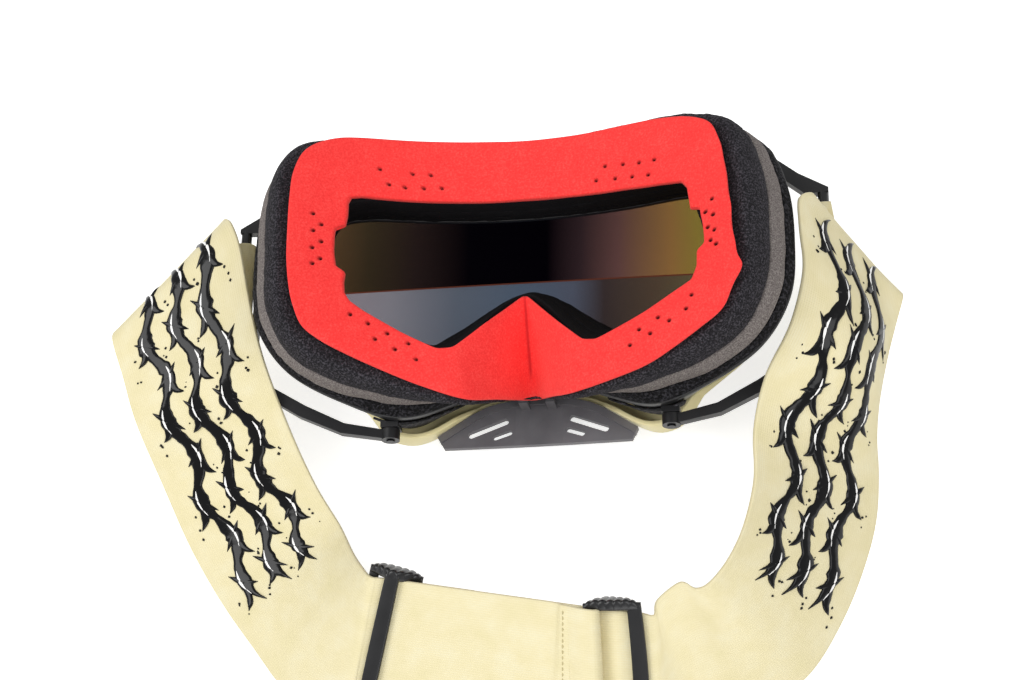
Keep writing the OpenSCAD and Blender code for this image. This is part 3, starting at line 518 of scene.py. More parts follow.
# place round the ring, x, y and drop of the window's edge
fleece_in = np.array([
    [0, 0, 42.1, 0], [1, 18, 41.5, 0], [2, 35, 40.2, 0], [3, 47.5, 38.4, 0], [4, 54.4, 36.9, 0],
    [5, 56.2, 34.2, 0], [6, 56.7, 30, 0], [6.9, 57, 26.2, 0], [7.1, 60.2, 25.6, 0], [8, 61.1, 20, 0],
    [8.9, 61.3, 12.4, 0], [9.1, 58.9, 11.2, 0], [10, 58.5, 6, 0], [11, 56.8, 1.7, 0], [12, 51, -.6, 0],
    [13, 42, -4.6, 0], [14, 36, -6.9, 0], [15, 30.5, -9, 0], [15.6, 25.5, -10.8, 0],
    [16.2, 21, -9.9, .4], [17, 12, -.5, 4], [18, 0, 14.2, 13.5], [19, -12, -.5, 4],
    [19.8, -20.5, -10, .4], [20.4, -25.5, -10.8, 0], [21, -36, -6, 0], [22, -47.8, .4, 0],
    [23, -52, 3.3, 0], [24, -53.8, 6.2, 0], [25, -54.1, 10, 0], [25.9, -53.8, 13.4, 0],
    [26.1, -56.6, 14.8, 0], [27, -57.4, 20, 0], [28, -57.5, 25, 0], [28.4, -57.3, 28.8, 0],
    [28.6, -54.4, 29.8, 0], [30, -53.9, 34, 0], [31, -53.9, 38.4, 0], [32, -53.1, 40.4, 0],
    [33, -50, 41.2, 0], [34, -38, 41.5, 0], [35, -22, 41.9, 0], [36, -10, 42, 0]])
steps = 32
outer_edge = closed_curve(fleece_out, steps)
turn = np.arange(len(outer_edge)) / steps
inner_edge = np.column_stack([np.interp(turn, fleece_in[:, 0], fleece_in[:, k], period=len(fleece_out))
                              for k in (1, 2, 3)])
soften = np.exp(-.5 * (np.arange(-9, 10) / 2.6) ** 2)
soften /= soften.sum()
wrapped = np.vstack([inner_edge[-9:], inner_edge, inner_edge[:9]])
inner_edge = np.column_stack([np.convolve(wrapped[:, k], soften, "valid") for k in range(3)])

# across the fleece: a rolled outer edge, the crowned face, a cut inner edge, and its underside
face = np.linspace(.045, .965, 44)
s = np.concatenate([[.05, .012, -.008, -.002, .016], face, [.988, 1, 1, .97, .8, .5, .2]])
h = np.concatenate([[-2.5, -2.3, -1.5, -.7, -.12], .35 * np.sin(np.pi * face),
                    [-.15, -.6, -2.1, -2.4, -2.4, -2.4, -2.4]])
flat = outer_edge[:, None] + s[None, :, None] * (inner_edge - outer_edge)[:, None]
fleece_grid = flat.copy()
fleece_grid[..., 2] = fleece_z + .4 + fleece_rise * (flat[..., 0] / fleece_w) ** 2 - flat[..., 2] + h[None]
# the cloth is never quite flat: long waves all over, and rumples where it was pressed at the right
upper = np.clip((h[None] + 2.2) / 2, 0, 1)
rumple = np.clip((flat[..., 0] - 52) / 14, 0, 1) * np.clip((flat[..., 1] + 20) / 20, 0, 1)
fleece_grid[..., 2] += upper * (.22 * ripple(fleece_grid, 24, 11) + .5 * rumple * ripple(fleece_grid, 11, 12))
fleece_grid[..., 0] += upper * rumple * .5 * ripple(fleece_grid, 14, 13)
# a small fold stands up at its right edge
fold = np.exp(-(((flat[..., 0] - 71) / 4) ** 2 + ((flat[..., 1] - .5) / 3.2) ** 2))
fleece_grid[..., 2] += 1.6 * fold
fleece_grid[..., 0] += 1.6 * fold
# punched holes and the seam over the nose
holes = np.array([
    (-44.6, 51.7), (-41.7, 46.5), (-36.7, 46), (-34.4, 51.1), (-30.8, 46.2), (-28.7, 51.1), (-25.1, 46.5),
    (-63.6, 31.9), (-61.1, 28.5), (-63.3, 25.9), (-60.9, 22.5), (-63.3, 19.8), (-60.9, 16.4), (-63, 14.2),
    (-51.5, -1.6), (-46.2, -4), (-43.9, -9.2), (-40.4, -6.8), (-37.9, -12.1), (-34, -9.7), (-31.5, -15),
    (26, 45.1), (29, 49.5), (32.4, 44.3), (35.1, 48.7), (38.1, 43.5), (40.5, 47.9), (43.5, 42.6),
    (45.6, 47.4),
    (64.3, 26.3), (62.2, 22.9), (64.4, 21), (62.7, 17.5), (64.9, 15.6), (63.5, 12.7), (65.1, 10.8),
    (56.9, -3.7), (54.9, -7.8), (49.4, -10.2), (45.8, -8.2), (39.6, -10.7), (43.2, -12.9), (36.6, -15.4)])
pierced = np.zeros(flat.shape[:2])
for hole in holes:
    from_hole = ((flat[..., :2] - hole) ** 2).sum(-1)
    pierced = np.maximum(pierced, np.exp(-(from_hole / .42) ** 2))
pierced *= (h[None] > -1)
fleece_grid[..., 2] -= 1.3 * pierced
seam_down = np.clip((flat[..., 1] + 12) / 4, 0, 1) * upper
seam = np.exp(-(flat[..., 0] / .45) ** 2) * seam_down * (flat[..., 1] < 18)
fleece_grid[..., 2] -= .45 * seam
fleece = surface("face_fleece", fleece_grid, True, True)
store(fleece, "pierced", pierced)
store(fleece, "seam", seam)

red_fleece, tree = start_material("red brushed fleece")
place = node(tree, "TexCoord").outputs["Object"]
# brushed fibres lie in tufts of about 0.6 mm, and the pile makes patches of a few millimetres
# where it lies another way
tufts = node(tree, "TexNoise", {"Scale": 1500.0, "Detail": 4.0, "Roughness": .65}, {"Vector": place})
patch = node(tree, "TexNoise", {"Scale": 160.0, "Detail": 3.0}, {"Vector": place})
quiet = node(tree, "MapRange", {"To Min": -.1, "To Max": .1}, {"Value": patch})
blend = node(tree, "Math", links={0: tufts, 1: quiet}, operation="ADD")
pile = ramp(tree, blend, [(.25, colour("#ec2f30")), (.5, colour("#f93b39")), (.75, colour("#ff5650"))])
holed = node(tree, "Attribute", attribute_name="pierced")
seamed = node(tree, "Attribute", attribute_name="seam")
# painted shade: the seam's groove is coloured a darker red
painted_seam_shade = node(tree, "MixRGB", {2: colour("#c81f24")}, {0: seamed.outputs["Fac"], 1: pile})
# the punched holes are near black: the charcoal foam under them, and painted shade in them
holes_and_painted_shade = node(tree, "MixRGB", {2: colour("#23060a")}, {0: holed.outputs["Fac"], 1: painted_seam_shade})
relief = node(tree, "Bump", {"Strength": .35, "Distance": .0004}, {"Height": tufts})
skin = node(tree, "BsdfPrincipled", {"Roughness": .95, "Sheen Weight": .35, "Sheen Roughness": .5,
                                     "Sheen Tint": colour("#ff8a80"), "Specular IOR Level": .25},
            {"Base Color": holes_and_painted_shade, "Normal": relief})
node(tree, "OutputMaterial", links={"Surface": skin})
dress(fleece, red_fleece, "goggle", "red_fleece", "face_fleece")


# Nose guard.
# A charcoal nylon moulding that clips over the frame at the nose. It has a flat middle panel,
# two slanted sides with a pair of vents each, and a raised band along its upper edge.
def rounded_copy(name, width):
    """Copy of a CAD node's mesh, with its triangles merged, its flat faces joined and its edges
    rounded to this width in mm."""
    work = bmesh.new()
    work.from_mesh(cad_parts[name].data)
    bmesh.ops.remove_doubles(work, verts=work.verts, dist=2e-6)
    bmesh.ops.dissolve_limit(work, angle_limit=np.radians(1.5), verts=work.verts, edges=work.edges)
    bmesh.ops.recalc_face_normals(work, faces=work.faces)
    mesh = bpy.data.meshes.new(name)
    work.to_mesh(mesh)
    work.free()
    mesh.polygons.foreach_set("use_smooth", np.full(len(mesh.polygons), True))
    mesh.set_sharp_from_angle(angle=np.radians(34))
    piece = bpy.data.objects.new(name, mesh)
    bpy.context.scene.collection.objects.link(piece)
    bevel = piece.modifiers.new("rounding", "BEVEL")
    bevel.width = width * MM
    bevel.segments = 3
    bevel.limit_method = "ANGLE"
    bevel.angle_limit = np.radians(30)
    bevel.harden_normals = True
    return piece


guard = rounded_copy("nose_guard", .35)
guard_nylon, tree = start_material("charcoal moulded nylon")
place = node(tree, "TexCoord").outputs["Object"]
# a fine matt texture of 0.2 mm, in patches of about 8 mm that are a little lighter or darker
grain = node(tree, "TexNoise", {"Scale": 5000.0, "Detail": 2.0}, {"Vector": place})
patch = node(tree, "TexNoise", {"Scale": 120.0, "Detail": 3.0}, {"Vector": place})
shade = ramp(tree, patch, [(.3, colour("#605e62")), (.7, colour("#6b696d"))])
relief = node(tree, "Bump", {"Strength": .25, "Distance": .0001}, {"Height": grain})
skin = node(tree, "BsdfPrincipled", {"Roughness": .5}, {"Base Color": shade, "Normal": relief})
node(tree, "OutputMaterial", links={"Surface": skin})
dress(guard, guard_nylon, "nose_guard", "guard_plastic", "nose_guard")


# Clips, hinge pins and tear-off posts.
# The clips and posts are moulded with the frame; the pins are short lengths of blackened steel rod.
for name in ("arm_clips", "tear_off_posts"):
    dress(rounded_copy(name, .3), black_nylon, "goggle", "black_frame", name)
pin_steel, tree = start_material("blackened steel rod")
place = node(tree, "TexCoord").outputs["Object"]
rings = node(tree, "TexWave", {"Scale": 900.0, "Distortion": 1.0}, {"Vector": place}, bands_direction="Y")
shade = ramp(tree, rings.outputs["Fac"], [(0, colour("#1b1b1d")), (1, colour("#2c2c2f"))])
skin = node(tree, "BsdfPrincipled", {"Metallic": 1.0, "Roughness": .3}, {"Base Color": shade})
node(tree, "OutputMaterial", links={"Surface": skin})
dress(rounded_copy("hinge_pins", .15), pin_steel, "goggle", "steel", "hinge_pins")


# Outriggers.
# Black nylon arms that hold the strap away from the frame, so that it clears a helmet's edge.
# Each has an upper and a lower arm, pinned to the frame, and a bar between them for the strap.
for name in ("outrigger_left", "outrigger_right"):
    dress(rounded_copy(name, .6), black_nylon, name, "black_frame", name)


# Strap.
# 50 mm elastic webbing, knitted from cream polyester over rubber, 1.5 mm thick, with a firmer
# ribbed edge. Each half is looped round its outrigger's bar, and its other end round a bar of
# the slider that runs on the other half; both ends are sewn back on themselves.
table_at = np.array([9.92, 31.59, 0])
strap_w, strap_t, weave_gap, slider_t = 50.0, 1.5, .3, 1.6
# the sliders share one straight, sloping stretch: along the strap, across it and out of its plane
slope, run = np.radians([28, -10.4])
along = np.array([np.cos(run), np.sin(run), 0])
across = np.array([-np.sin(run) * np.cos(slope), np.cos(run) * np.cos(slope), np.sin(slope)])
outside = np.cross(along, across)
first_slider = np.array([-49.5, -100.4, 19])
layer = strap_t + weave_gap
half_bar = (strap_t + slider_t) / 2 + weave_gap
slider_pitch, bar_pitch = 77.0, 7.0


def crossing(a, n, skew=0.0, lower=0.0):
    """Station of the strap where it crosses the sliders' frame: a along it, n out of its plane,
    with its ends turned by skew degrees and moved down across it by lower."""
    k = strap_w / 2 * np.tan(np.radians(skew))
    low, high = (first_slider + (a + sign * k) * along + (sign * strap_w / 2 - lower) * across + n * outside
                 for sign in (-1, 1))
    return [*low, *high, 0]


def open_curve(points, steps):
    """Smooth open curve through all points, one cubic from each to the next."""
    p = np.asarray(points, float)
    full = np.vstack([p[:1], p, p[-1:]])
    return np.vstack([cubics(*(full[k:len(full) - 3 + k][:, None] for k in range(4)), steps), p[-1:]])


def slider_wrap(a, n, way, skew, back, lower):
    """Stations round a slider's bar: a half circle, then a straight run back under the strap."""
    turn = np.radians(np.arange(90, -91, -22.5))
    n_bar = n - half_bar
    return ([crossing(a - 2 * way, n, skew, lower)]
            + [crossing(a + way * (1 + half_bar * np.cos(t)), n_bar + half_bar * np.sin(t), skew, lower)
               for t in turn]
            + [crossing(a - way * d, n - 2 * half_bar, skew, lower) for d in np.arange(2, back + .1, 4)])


# degrees by which the sliders are turned, and mm by which the webbing hidden there lies lower
skew, hidden = 8, 1.2
# the outriggers' bars, and the webbing that is wrapped round them
bar_x, bar_low, loop_z, bar_r = 98.0, -6.0, 31.6, 1.8
wrap_r = bar_r + 1.5 * weave_gap + strap_t / 2
under_z = loop_z - wrap_r
bar_top = bar_low + strap_w - 3


def bar_wrap(side):
    """Stations of the sewn end, from its cut edge round the outrigger's bar."""
    start = [[side * (bar_x + 8), bar_low + 1, under_z + layer + .1,
              side * (bar_x + 2), bar_top, loop_z + wrap_r, 0],
             [side * (bar_x + 4), bar_low + .5, under_z + layer + 2.4,
              side * (bar_x + 1), bar_top, loop_z + wrap_r, 0]]
    turn = np.radians(np.arange(90, 241, 25))
    return start + [[side * (bar_x + wrap_r * np.cos(t)), bar_low, loop_z + wrap_r * np.sin(t),
                     side * (bar_x + wrap_r * np.cos(t)), bar_top, loop_z + wrap_r * np.sin(t), 0]
                    for t in turn]


# each station holds a point of the lower edge, one of the upper edge and the middle's arch
left_stations = [
    [-98, -6, under_z, -98, 41, under_z, 0], [-108, -4.5, 28, -102.5, 43, 28.6, 0],
    [-122, 0, 28, -104, 44.5, 31, 0], [-133.5, 5.5, 28.5, -103.5, 45, 35, 0],
    [-138.5, 9.5, 30.5, -103, 46, 40, 0], [-140.5, 10.5, 33.5, -101, 45, 45, 0],
    [-141, 8, 36.5, -97.5, 41, 49, 0], [-140, 3.5, 36.5, -94, 31.5, 48.5, 0],
    [-137.5, -5.5, 32.5, -90.5, 12, 44, 0], [-133.5, -20, 27, -85.5, -7, 40.5, 0],
    [-127, -38, 14, -79, -27, 27.5, 0], [-119, -57, 5, -73, -41.5, 16, 0],
    [-108, -75.5, 1.2, -65, -54.5, 13.5, 0], [-95.5, -92, .8, -58.6, -66, 20, 0],
    [-83, -107, 2, -53.5, -73.4, 27, 0],
    crossing(-7.5, .2, skew), crossing(-3, 0, skew), crossing(9, 0, skew), crossing(slider_pitch / 2, 0),
    crossing(slider_pitch - 22, 0), crossing(slider_pitch - 17, layer, -skew / 2),
    crossing(slider_pitch - 13, layer + .4, -skew)]
right_stations = [
    [98, -6, under_z, 98, 41, under_z, 0], [104, -4, 27, 99.2, 40, 28.6, 0],
    [111, 1, 21.5, 98.8, 38.6, 33.5, 0], [116, 7, 15.5, 97.4, 37.6, 40, 0],
    [120, 13.5, 16, 94.2, 37.8, 47, 0], [121.2, 11.5, 20, 90.4, 34.2, 51, 0],
    [118.5, 3.5, 18, 90.2, 23.5, 50.3, 3], [115, -7, 15, 90.5, 10, 48.5, 7],
    [112, -19, 13, 85.5, -6.5, 45, 9], [110.2, -31, 7, 77, -21, 39.5, 5],
    [110, -42, 3.2, 72.6, -37, 36, 1.5], [108.5, -56, 1.2, 72, -53, 35, 0],
    [104.5, -70, .8, 68.5, -68, 36, 0], [97, -87.5, .8, 63.5, -79, 37, 0],
    [86, -105, 1, 57.5, -86, 36, 0], [73, -115.5, 2, 53, -87, 33.5, 0],
    [61, -121, 3.5, 48.5, -85.5, 35.5, 0], [50, -126, 4.5, 41, -89.5, 31.5, 0],
    crossing(slider_pitch + 13, -layer, -skew), crossing(slider_pitch + 9.2, -layer, -skew),
    crossing(slider_pitch + 4.6, -layer, -skew), crossing(slider_pitch + 1, -layer + 1, -skew),
    crossing(slider_pitch - 3.4, -layer, -skew, .6), crossing(slider_pitch - 9.2, -layer, -skew, hidden),
    crossing(slider_pitch / 2, -layer, 0, hidden), crossing(bar_pitch + 8, -layer, skew, hidden)]
coarse = {
    "left": np.array(bar_wrap(-1) + list(open_curve(left_stations, 3))
                     + slider_wrap(slider_pitch - bar_pitch, 2 * half_bar, 1, -skew, 10, 0)),
    "right": np.array(bar_wrap(1) + list(open_curve(right_stations, 3))
                      + slider_wrap(bar_pitch, -layer, -1, skew, 18, hidden))}
sides = {"left": -1, "right": 1}


class Ribbon:
    """Surface of one strap half: place along it in mm, v across it from the lower edge and h above
    its middle. Its outer side is the cross product of its run and its width."""

    def __init__(self, side):
        path = open_curve(coarse[side], 6)
        self.low, self.high, self.arch = path[:, :3], path[:, 3:6], path[:, 6]
        self.middle = (self.low + self.high) / 2
        ahead = np.gradient(self.middle, axis=0)
        out = -sides[side] * np.cross(ahead, self.high - self.low)
        self.out = out / np.linalg.norm(out, axis=1)[:, None]
        steps = np.linalg.norm(np.diff(self.middle, axis=0), axis=1)
        self.length = np.concatenate([[0], np.cumsum(steps)])

    def at(self, place, v, h):
        """Points at these lengths along the strap, in mm, shares v across it and heights h."""
        place, v, h = np.broadcast_arrays(place, v, h)
        def pick(values):
            return np.stack([np.interp(place, self.length, values[:, k]) for k in range(3)], -1)
        arch = np.interp(place, self.length, self.arch) * 4 * v * (1 - v)
        low, high, out = pick(self.low), pick(self.high), pick(self.out)
        out /= np.linalg.norm(out, axis=-1, keepdims=True)
        return low + v[..., None] * (high - low) + (h + arch)[..., None] * out


ribbon = {side: Ribbon(side) for side in sides}

# across the webbing: its face with two ribs at each edge, the rounded edge, and its back
v_face = np.concatenate([[.004, .012, .022, .032, .042, .055], np.linspace(.08, .92, 22),
                         [.945, .958, .968, .978, .988, .996]])
rib = np.array([-.1, .06, -.04, .06, -.04, 0])
face_h = strap_t / 2 + np.concatenate([rib, np.zeros(22), rib[::-1]])
v_loop = np.concatenate([[0], v_face, [1], v_face[::-1]])
h_loop = np.concatenate([[0], face_h, [0], -face_h[::-1]])

webbing, tree = start_material("cream knitted elastic")
place = node(tree, "TexCoord").outputs["UV"]
# warp-knitted ribs run along the webbing; the real ones are 0.45 mm apart and are drawn at 0.75 mm
# so that they show, crossed by loops every 0.7 mm
rib_mm, loop_mm = .75, .7
axis = node(tree, "SeparateXYZ", links={"Vector": place})
rib_wave = node(tree, "Math", {1: 2 * np.pi / rib_mm}, {0: axis.outputs["Y"]}, operation="MULTIPLY")
rib_shape = node(tree, "Math", links={0: rib_wave}, operation="SINE")
loop_wave = node(tree, "Math", {1: 2 * np.pi / loop_mm}, {0: axis.outputs["X"]}, operation="MULTIPLY")
loop_shift = node(tree, "Math", {1: 1.2}, {0: rib_shape}, operation="MULTIPLY")
loop_both = node(tree, "Math", links={0: loop_wave, 1: loop_shift}, operation="ADD")
loop_shape = node(tree, "Math", links={0: loop_both}, operation="SINE")
knit = node(tree, "Math", {1: .5}, {0: loop_shape}, operation="MULTIPLY")
knit_all = node(tree, "Math", links={0: knit, 1: rib_shape}, operation="ADD")
stretch = node(tree, "TexNoise", {"Scale": .12, "Detail": 3.0}, {"Vector": place})
fuzz = node(tree, "TexNoise", {"Scale": 2.5, "Detail": 2.0}, {"Vector": place})
knit_shade = node(tree, "MapRange", {"From Min": -1.5, "From Max": 1.5, "To Min": .1, "To Max": .4},
                  {"Value": knit_all})
tone = node(tree, "Math", links={0: knit_shade, 1: stretch}, operation="ADD")
shade = ramp(tree, tone, [(.3, colour("#d8ce9f")), (.75, colour("#e1d6ad")), (1, colour("#e3dbb8"))])
height_all = node(tree, "Math", links={0: knit_all, 1: fuzz}, operation="ADD")
relief = node(tree, "Bump", {"Strength": .2, "Distance": .0002}, {"Height": height_all})
skin = node(tree, "BsdfPrincipled", {"Roughness": .8, "Sheen Weight": .2, "Sheen Roughness": .5,
                                     "Specular IOR Level": .3},
            {"Base Color": shade, "Normal": relief})
node(tree, "OutputMaterial", links={"Surface": skin})


def strap_piece(name, side, start, end):
    """Length of one strap half between two places along it, as a closed sheet."""
    half = ribbon[side]
    steps = half.length[(half.length > start) & (half.length < end)]
    place = np.concatenate([[start], steps, [end]])[:, None]
    # slack webbing waves a little between its edges
    wave = .2 * np.clip(4 * v_loop * (1 - v_loop), 0, 1) * ripple(half.at(place, v_loop, h_loop), 30, 21)
    grid = half.at(place, v_loop, h_loop + wave)
    v_uv = np.concatenate([v_loop, v_loop[:1]])
    uv = np.stack(np.broadcast_arrays(place, v_uv * strap_w), -1)
    piece = surface(name, grid, close_v=True, caps=True, uv=uv, at=table_at)
    piece.data.materials.append(webbing)
    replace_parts(piece, "strap_" + side)
    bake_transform(piece)


def place_of(side, point):
    """Length along a strap half at which its middle comes nearest to a point."""
    half = ribbon[side]
    return half.length[np.argmin(np.linalg.norm(half.middle - point, axis=1))]


def by_sliders(a, n):
    """Point of the sliders' frame, on the strap's middle line."""
    return first_slider + a * along + n * outside


# each half is cut in two at a bar of the sliders
split_left = place_of("left", by_sliders(0, 0))
split_right = place_of("right", by_sliders(slider_pitch + bar_pitch, -layer))
strap_piece("strap_left_front", "left", 0, split_left)
strap_piece("strap_left_rear", "left", split_left, ribbon["left"].length[-1])
strap_piece("strap_right_front", "right", 0, split_right)
strap_piece("strap_right_rear", "right", split_right, ribbon["right"].length[-1])


# Strap print.
# Thick glossy black silicone, screen printed as wavy thorny stems with splashes, and thin
# white marks on them, partly white print and partly painted highlights of the gloss. It stands 0.6 mm off the
# webbing.
silicone, tree = start_material("glossy black silicone")
place = node(tree, "TexCoord").outputs["Object"]
pool = node(tree, "TexNoise", {"Scale": 350.0, "Detail": 1.0}, {"Vector": place})
relief = node(tree, "Bump", {"Strength": .25, "Distance": .0004}, {"Height": pool})
skin = node(tree, "BsdfPrincipled", {"Base Color": colour("#08080a"), "Roughness": .15,
                                     "Specular IOR Level": .25}, {"Normal": relief})
node(tree, "OutputMaterial", links={"Surface": skin})
white_ink_and_painted_highlight, tree = start_material("white silicone ink with painted highlights")
skin = node(tree, "BsdfPrincipled", {"Base Color": colour("#f4f3f0"), "Roughness": .25})
node(tree, "OutputMaterial", links={"Surface": skin})


def tubes(name, grids):
    """One mesh from several tubes: each grid's rows are closed rings, and both ends are capped."""
    faces, first = [], 0
    for grid in grids:
        nu, nv = grid.shape[:2]
        faces += grid_faces(nu, nv, False, True, True, first)
        first += nu * nv
    piece = build(name, np.vstack([grid.reshape(-1, 3) for grid in grids]), faces, at=table_at)
    work = bmesh.new()
    work.from_mesh(piece.data)
    bmesh.ops.recalc_face_normals(work, faces=work.faces)
    work.to_mesh(piece.data)
    work.free()
    return piece


def on_strap(piece, material):
    """Gives a piece its silicone or ink, and bakes its placement into its mesh."""
    piece.data.materials.append(material)
    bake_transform(piece)
    return piece


def stroke(side, spine, widths, tall, lift=.02):
    """Grid of a raised stroke on a strap half: spine points are (mm along, share across), and the
    stroke is a low dome of these half widths in mm, with its foot sunk into the webbing."""
    spine, widths = open_curve(spine, 8), open_curve(np.array(widths)[:, None], 8)[:, 0]
    widths = widths * (1 + .18 * ripple(np.column_stack([spine * [1, 20], widths]), 2.5, 9))
    flat = spine * [1, strap_w]
    d = np.gradient(flat, axis=0)
    n = np.column_stack([-d[:, 1], d[:, 0]]) / np.linalg.norm(d, axis=1)[:, None]
    half_circle = np.radians(np.linspace(0, 180, 9))
    offset = np.concatenate([np.cos(half_circle), [-.95, .95]])
    rise = np.concatenate([np.sin(half_circle) ** .7, [-.5, -.5]])
    where = flat[:, None] + (widths[:, None] * offset[None])[..., None] * n[:, None]
    top = np.minimum(tall, widths * .9)[:, None]
    h = strap_t / 2 + lift + np.where(rise > 0, rise * top, rise * .4)
    return ribbon[side].at(where[..., 0], where[..., 1] / strap_w, h)


vine_wave, vine_length, vine_points = 29.0, 118, 31


def vine(x, row):
    """Share across the webbing of a stem at x mm along it: a sine wave about its row's middle."""
    return .27 + .23 * row + .05 * np.sin(2 * np.pi * x / vine_wave)


# the print starts 17 mm before these points
print_start = {"left": np.array([-118, 14, 41]), "right": np.array([104, 8, 36])}
for side in sides:
    rng = np.random.default_rng(5 if side == "left" else 8)
    first = place_of(side, print_start[side]) - 17
    black, white = [], []
    for row in range(3):
        # a wavy stem that is thick at its crests on both sides, and thin at its ends
        x = np.linspace(0, vine_length, vine_points)
        stem = np.column_stack([first + x, vine(x, row) + rng.uniform(-.006, .006, vine_points)])
        swell = 1.25 + 1.6 * abs(np.sin(2 * np.pi * x / vine_wave)) + rng.uniform(-.2, .3, vine_points)
        swell *= np.clip(4 * np.sin(np.linspace(.02, np.pi - .02, vine_points)), 0, 1)
        black.append((stem, swell))
        for k in range(8):
            out = (-1) ** k
            crest = vine_wave * (k / 2 + .25) + rng.uniform(-1, 1)
            root = np.array([first + crest, vine(crest, row)])
            # a long hooked thorn that leans forward, a short one that leans back, and one inwards
            hook = root + [rng.uniform(6, 8.5), out * rng.uniform(.08, .095)]
            black.append(([root, (root + hook) / 2 + [1.4, -out * .012], hook], [1.8, 1.2, .07]))
            back = root + [rng.uniform(-5, -3.5), out * rng.uniform(.075, .09)]
            black.append(([root, (root + back) / 2, back], [1.5, .8, .07]))
            barb = root + [rng.uniform(2, 5), -out * rng.uniform(.085, .1)]
            black.append(([root, (root + barb) / 2, barb], [1.4, .8, .07]))
            # splashes
            for _ in range(3):
                spot = root + [rng.uniform(3, 12), out * rng.uniform(.085, .125)]
                size = rng.uniform(.25, .6)
                black.append(([spot - [size, 0], spot, spot + [size, 0]], [.08, size, .08]))
            # a white mark along the outer edge of the crest: white print and a painted highlight of the gloss
            glint = crest + np.array([-4.5, -1.5, 1.5, 4.5])
            glint_at = np.column_stack([first + glint, vine(glint, row) + out * .021])
            white.append((glint_at, [.08, .5, .4, .08]))
    print_black = tubes("strap_print_" + side, [stroke(side, *mark, .6) for mark in black])
    print_white = tubes("strap_highlight_" + side, [stroke(side, *mark, .14, .48) for mark in white])
    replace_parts(on_strap(print_black, silicone), "strap_print_" + side)
    on_strap(print_white, white_ink_and_painted_highlight)


# Grip lines.
# Three beads of black silicone along the inner face of each half, which hold on a helmet.
grip_start = {"left": np.array([-103, -32.5, 20.7]), "right": np.array([91.3, -39.5, 19.6])}
grip_length, grip_half_w, grip_tall = 60, 1.6, .6
half_circle = np.radians(np.linspace(0, 180, 7))
grip_across = np.concatenate([np.cos(half_circle), [-.9, .9]])
grip_h = -strap_t / 2 - np.concatenate([np.sin(half_circle) * grip_tall, [-.3, -.3]])
for side in sides:
    first = place_of(side, grip_start[side])
    last = first + grip_length
    place = np.linspace(first, last, 60)[:, None]
    half_w = np.interp(place, [first, first + 2, last - 2, last], [.3, grip_half_w, grip_half_w, .3])
    beads = [ribbon[side].at(place, v + half_w * grip_across / strap_w, grip_h) for v in (.25, .5, .75)]
    grip = on_strap(tubes("strap_grip_" + side, beads), silicone)
    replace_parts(grip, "strap_grip_" + side)


# Stitching.
# The left half's end is folded round the slider's bar and sewn down with a row of cream thread.
thread, tree = start_material("spun polyester thread")
place = node(tree, "TexCoord").outputs["Object"]
twist = node(tree, "TexWave", {"Scale": 1800.0, "Distortion": 1.0}, {"Vector": place})
shade = ramp(tree, twist.outputs["Fac"], [(0, colour("#a3966b")), (1, colour("#cdc196"))])
skin = node(tree, "BsdfPrincipled", {"Roughness": .8}, {"Base Color": shade})
node(tree, "OutputMaterial", links={"Surface": skin})
row_at = place_of("left", by_sliders(slider_pitch - 16, layer))
stitches = [stroke("left", [[row_at, v], [row_at + .1, v + .012], [row_at, v + .024]], [.1, .3, .1], .3)
            for v in np.linspace(.03, .94, 27)]
dress(tubes("strap_stitches", stitches), thread, "slider_right", "strap_elastic")


# Sliders.
# Glossy black nylon ladder locks with three bars. One bar is held in a strap's sewn end, and the
# other half is threaded over and under the rest. Their short ends are ribbed for the fingers.
slider_nylon, tree = start_material("glossy black nylon")
place = node(tree, "TexCoord").outputs["Object"]
patch = node(tree, "TexNoise", {"Scale": 150.0, "Detail": 3.0}, {"Vector": place})
rough = node(tree, "MapRange", {"To Min": .24, "To Max": .4}, {"Value": patch})
skin = node(tree, "BsdfPrincipled", {"Base Color": colour("#141416")}, {"Roughness": rough})
node(tree, "OutputMaterial", links={"Surface": skin})


def on_slider(centre, turned, a, b, n):
    """Points of a slider: a along the strap from its middle bar, b across and n out of its plane,
    turned by degrees about its own middle."""
    c, s = np.cos(np.radians(turned)), np.sin(np.radians(turned))
    a, b, n = (x[..., None] for x in np.broadcast_arrays(a, b, n))
    return first_slider + (centre + a * c + b * s) * along + (b * c - a * s) * across + n * outside


bar_end, rail_in, rail_out, rib_pitch = 27.5, 25.15, 28.4, 2.4


def slider_bar(centre, turned, a, n, width, bow):
    """A bar across the slider, with rounded edges, that bows sideways by a cosine of its length."""
    b = np.linspace(-bar_end, bar_end, 41)[:, None]
    mid = a + bow * np.cos(np.pi * b / 2 / bar_end)
    half = width / 2 + .25 * np.cos(np.pi * b / 2 / bar_end)
    corners = np.stack([on_slider(centre, turned, mid + sx * half, b, n + sn * slider_t / 2)[:, 0]
                        for sx, sn in ((-1, -1), (-1, 1), (1, 1), (1, -1))], 1)
    return rounded(corners, .55)


def slider_rail(centre, turned, sign, heights):
    """The short end that joins the bars. Its height runs between those of the bars, its ends are
    rounded off, and its outer face has a rib every 2.4 mm."""
    end = bar_pitch + 1.3
    peak, pit = max(heights), min(heights)
    a = np.linspace(-end, end, 97)[:, None]
    top = np.interp(a, [-end, -1.5, 1.5, end], [heights[0], peak, peak, heights[2]]) + slider_t / 2
    low = np.interp(a, [-end, -1.5, end], [heights[0], pit, heights[2]]) - slider_t / 2
    rib = .5 * abs(np.cos(np.pi * a / rib_pitch)) ** .6
    taper = 1.8 * abs(a / end) ** 6
    near, far = rail_in + 0 * a, rail_out + rib - taper
    corners = np.stack([on_slider(centre, turned, a, sign * b, n)[:, 0]
                        for b, n in ((near, low), (near, top), (far - .2, top + rib * .5), (far, low))], 1)
    return rounded(corners, 1.1)


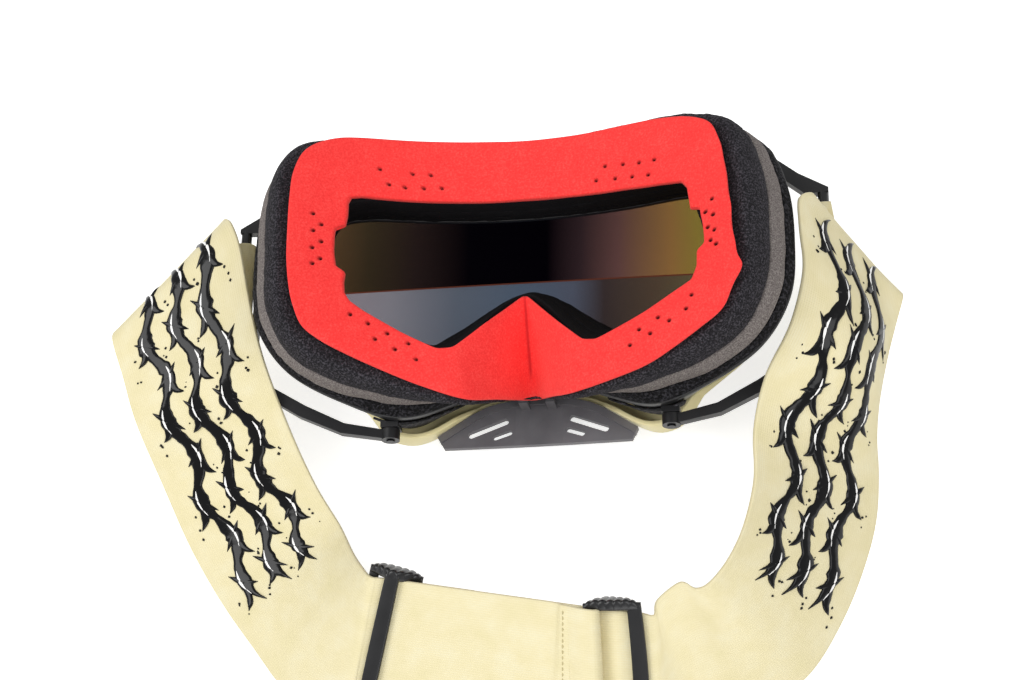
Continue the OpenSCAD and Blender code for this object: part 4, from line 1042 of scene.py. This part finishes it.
# place along the strap, turn in degrees, and each bar's height, width and bow
slider_shapes = {
    "left": (0, skew, (-half_bar, half_bar, -layer - half_bar), (3, 4.6, 3), (0, 0, 0)),
    "right": (slider_pitch, -skew, (half_bar, -layer - half_bar, -layer + half_bar), (3, 3, 4.4),
              (0, 0, 1.2))}
for side, (centre, turned, heights, widths, bows) in slider_shapes.items():
    parts = [slider_bar(centre, turned, (k - 1) * bar_pitch, heights[k], widths[k], bows[k])
             for k in range(3)]
    parts += [slider_rail(centre, turned, sign, heights) for sign in (-1, 1)]
    name = "slider_" + side
    dress(tubes(name, parts), slider_nylon, name, "slider_plastic", name)


# Floor and light.
# A white table top that runs on as a white background, lit by three large soft boxes and an even
# white surround, as on a product table.
bpy.ops.mesh.primitive_plane_add(size=8)
floor = bpy.context.object
floor.name = "floor"
white_table, tree = start_material("white table top")
paint = node(tree, "BsdfDiffuse", {"Color": (.8, .8, .8, 1)})
# what is seen of the table, also as a reflection or through the lens, is lifted towards paper
# white, without casting more light on the goggles
ray = node(tree, "LightPath")
seen = node(tree, "Math", links={0: ray.outputs["Is Camera Ray"], 1: ray.outputs["Is Glossy Ray"]},
            operation="MAXIMUM")
seen_all = node(tree, "Math", links={0: seen, 1: ray.outputs["Is Transmission Ray"]}, operation="MAXIMUM")
lift = node(tree, "Math", {1: .68}, {0: seen_all}, operation="MULTIPLY")
glow = node(tree, "Emission", {"Color": (1, 1, 1, 1)}, {"Strength": lift})
both = node(tree, "AddShader", links={0: paint, 1: glow})
node(tree, "OutputMaterial", links={"Surface": both})
floor.data.materials.append(white_table)

world = bpy.data.worlds.new("surround")
bpy.context.scene.world = world
world.use_nodes = True
tree = world.node_tree
tree.nodes.clear()
sky = node(tree, "Background", {"Color": (1, 1, 1, 1), "Strength": .55})
node(tree, "OutputWorld", links={"Surface": sky})


def soft_box(name, at, size, power):
    """Square area light that faces the goggles."""
    lamp = bpy.data.lights.new(name, "AREA")
    lamp.size = size
    lamp.energy = power
    lamp_object = bpy.data.objects.new(name, lamp)
    bpy.context.scene.collection.objects.link(lamp_object)
    back = np.array(at) / np.linalg.norm(at)
    side = np.cross([0, 1, 0], back)
    side /= np.linalg.norm(side)
    lamp_object.matrix_world = facing(side, np.cross(back, side), back, at)


soft_box("soft box left", (-.9, -.1, 1.2), .9, 11)
soft_box("soft box right", (1.0, -.3, 1.2), .9, 7)
soft_box("soft box front", (.1, -1.3, .55), .8, 5)
bpy.context.scene.view_settings.view_transform = "Standard"
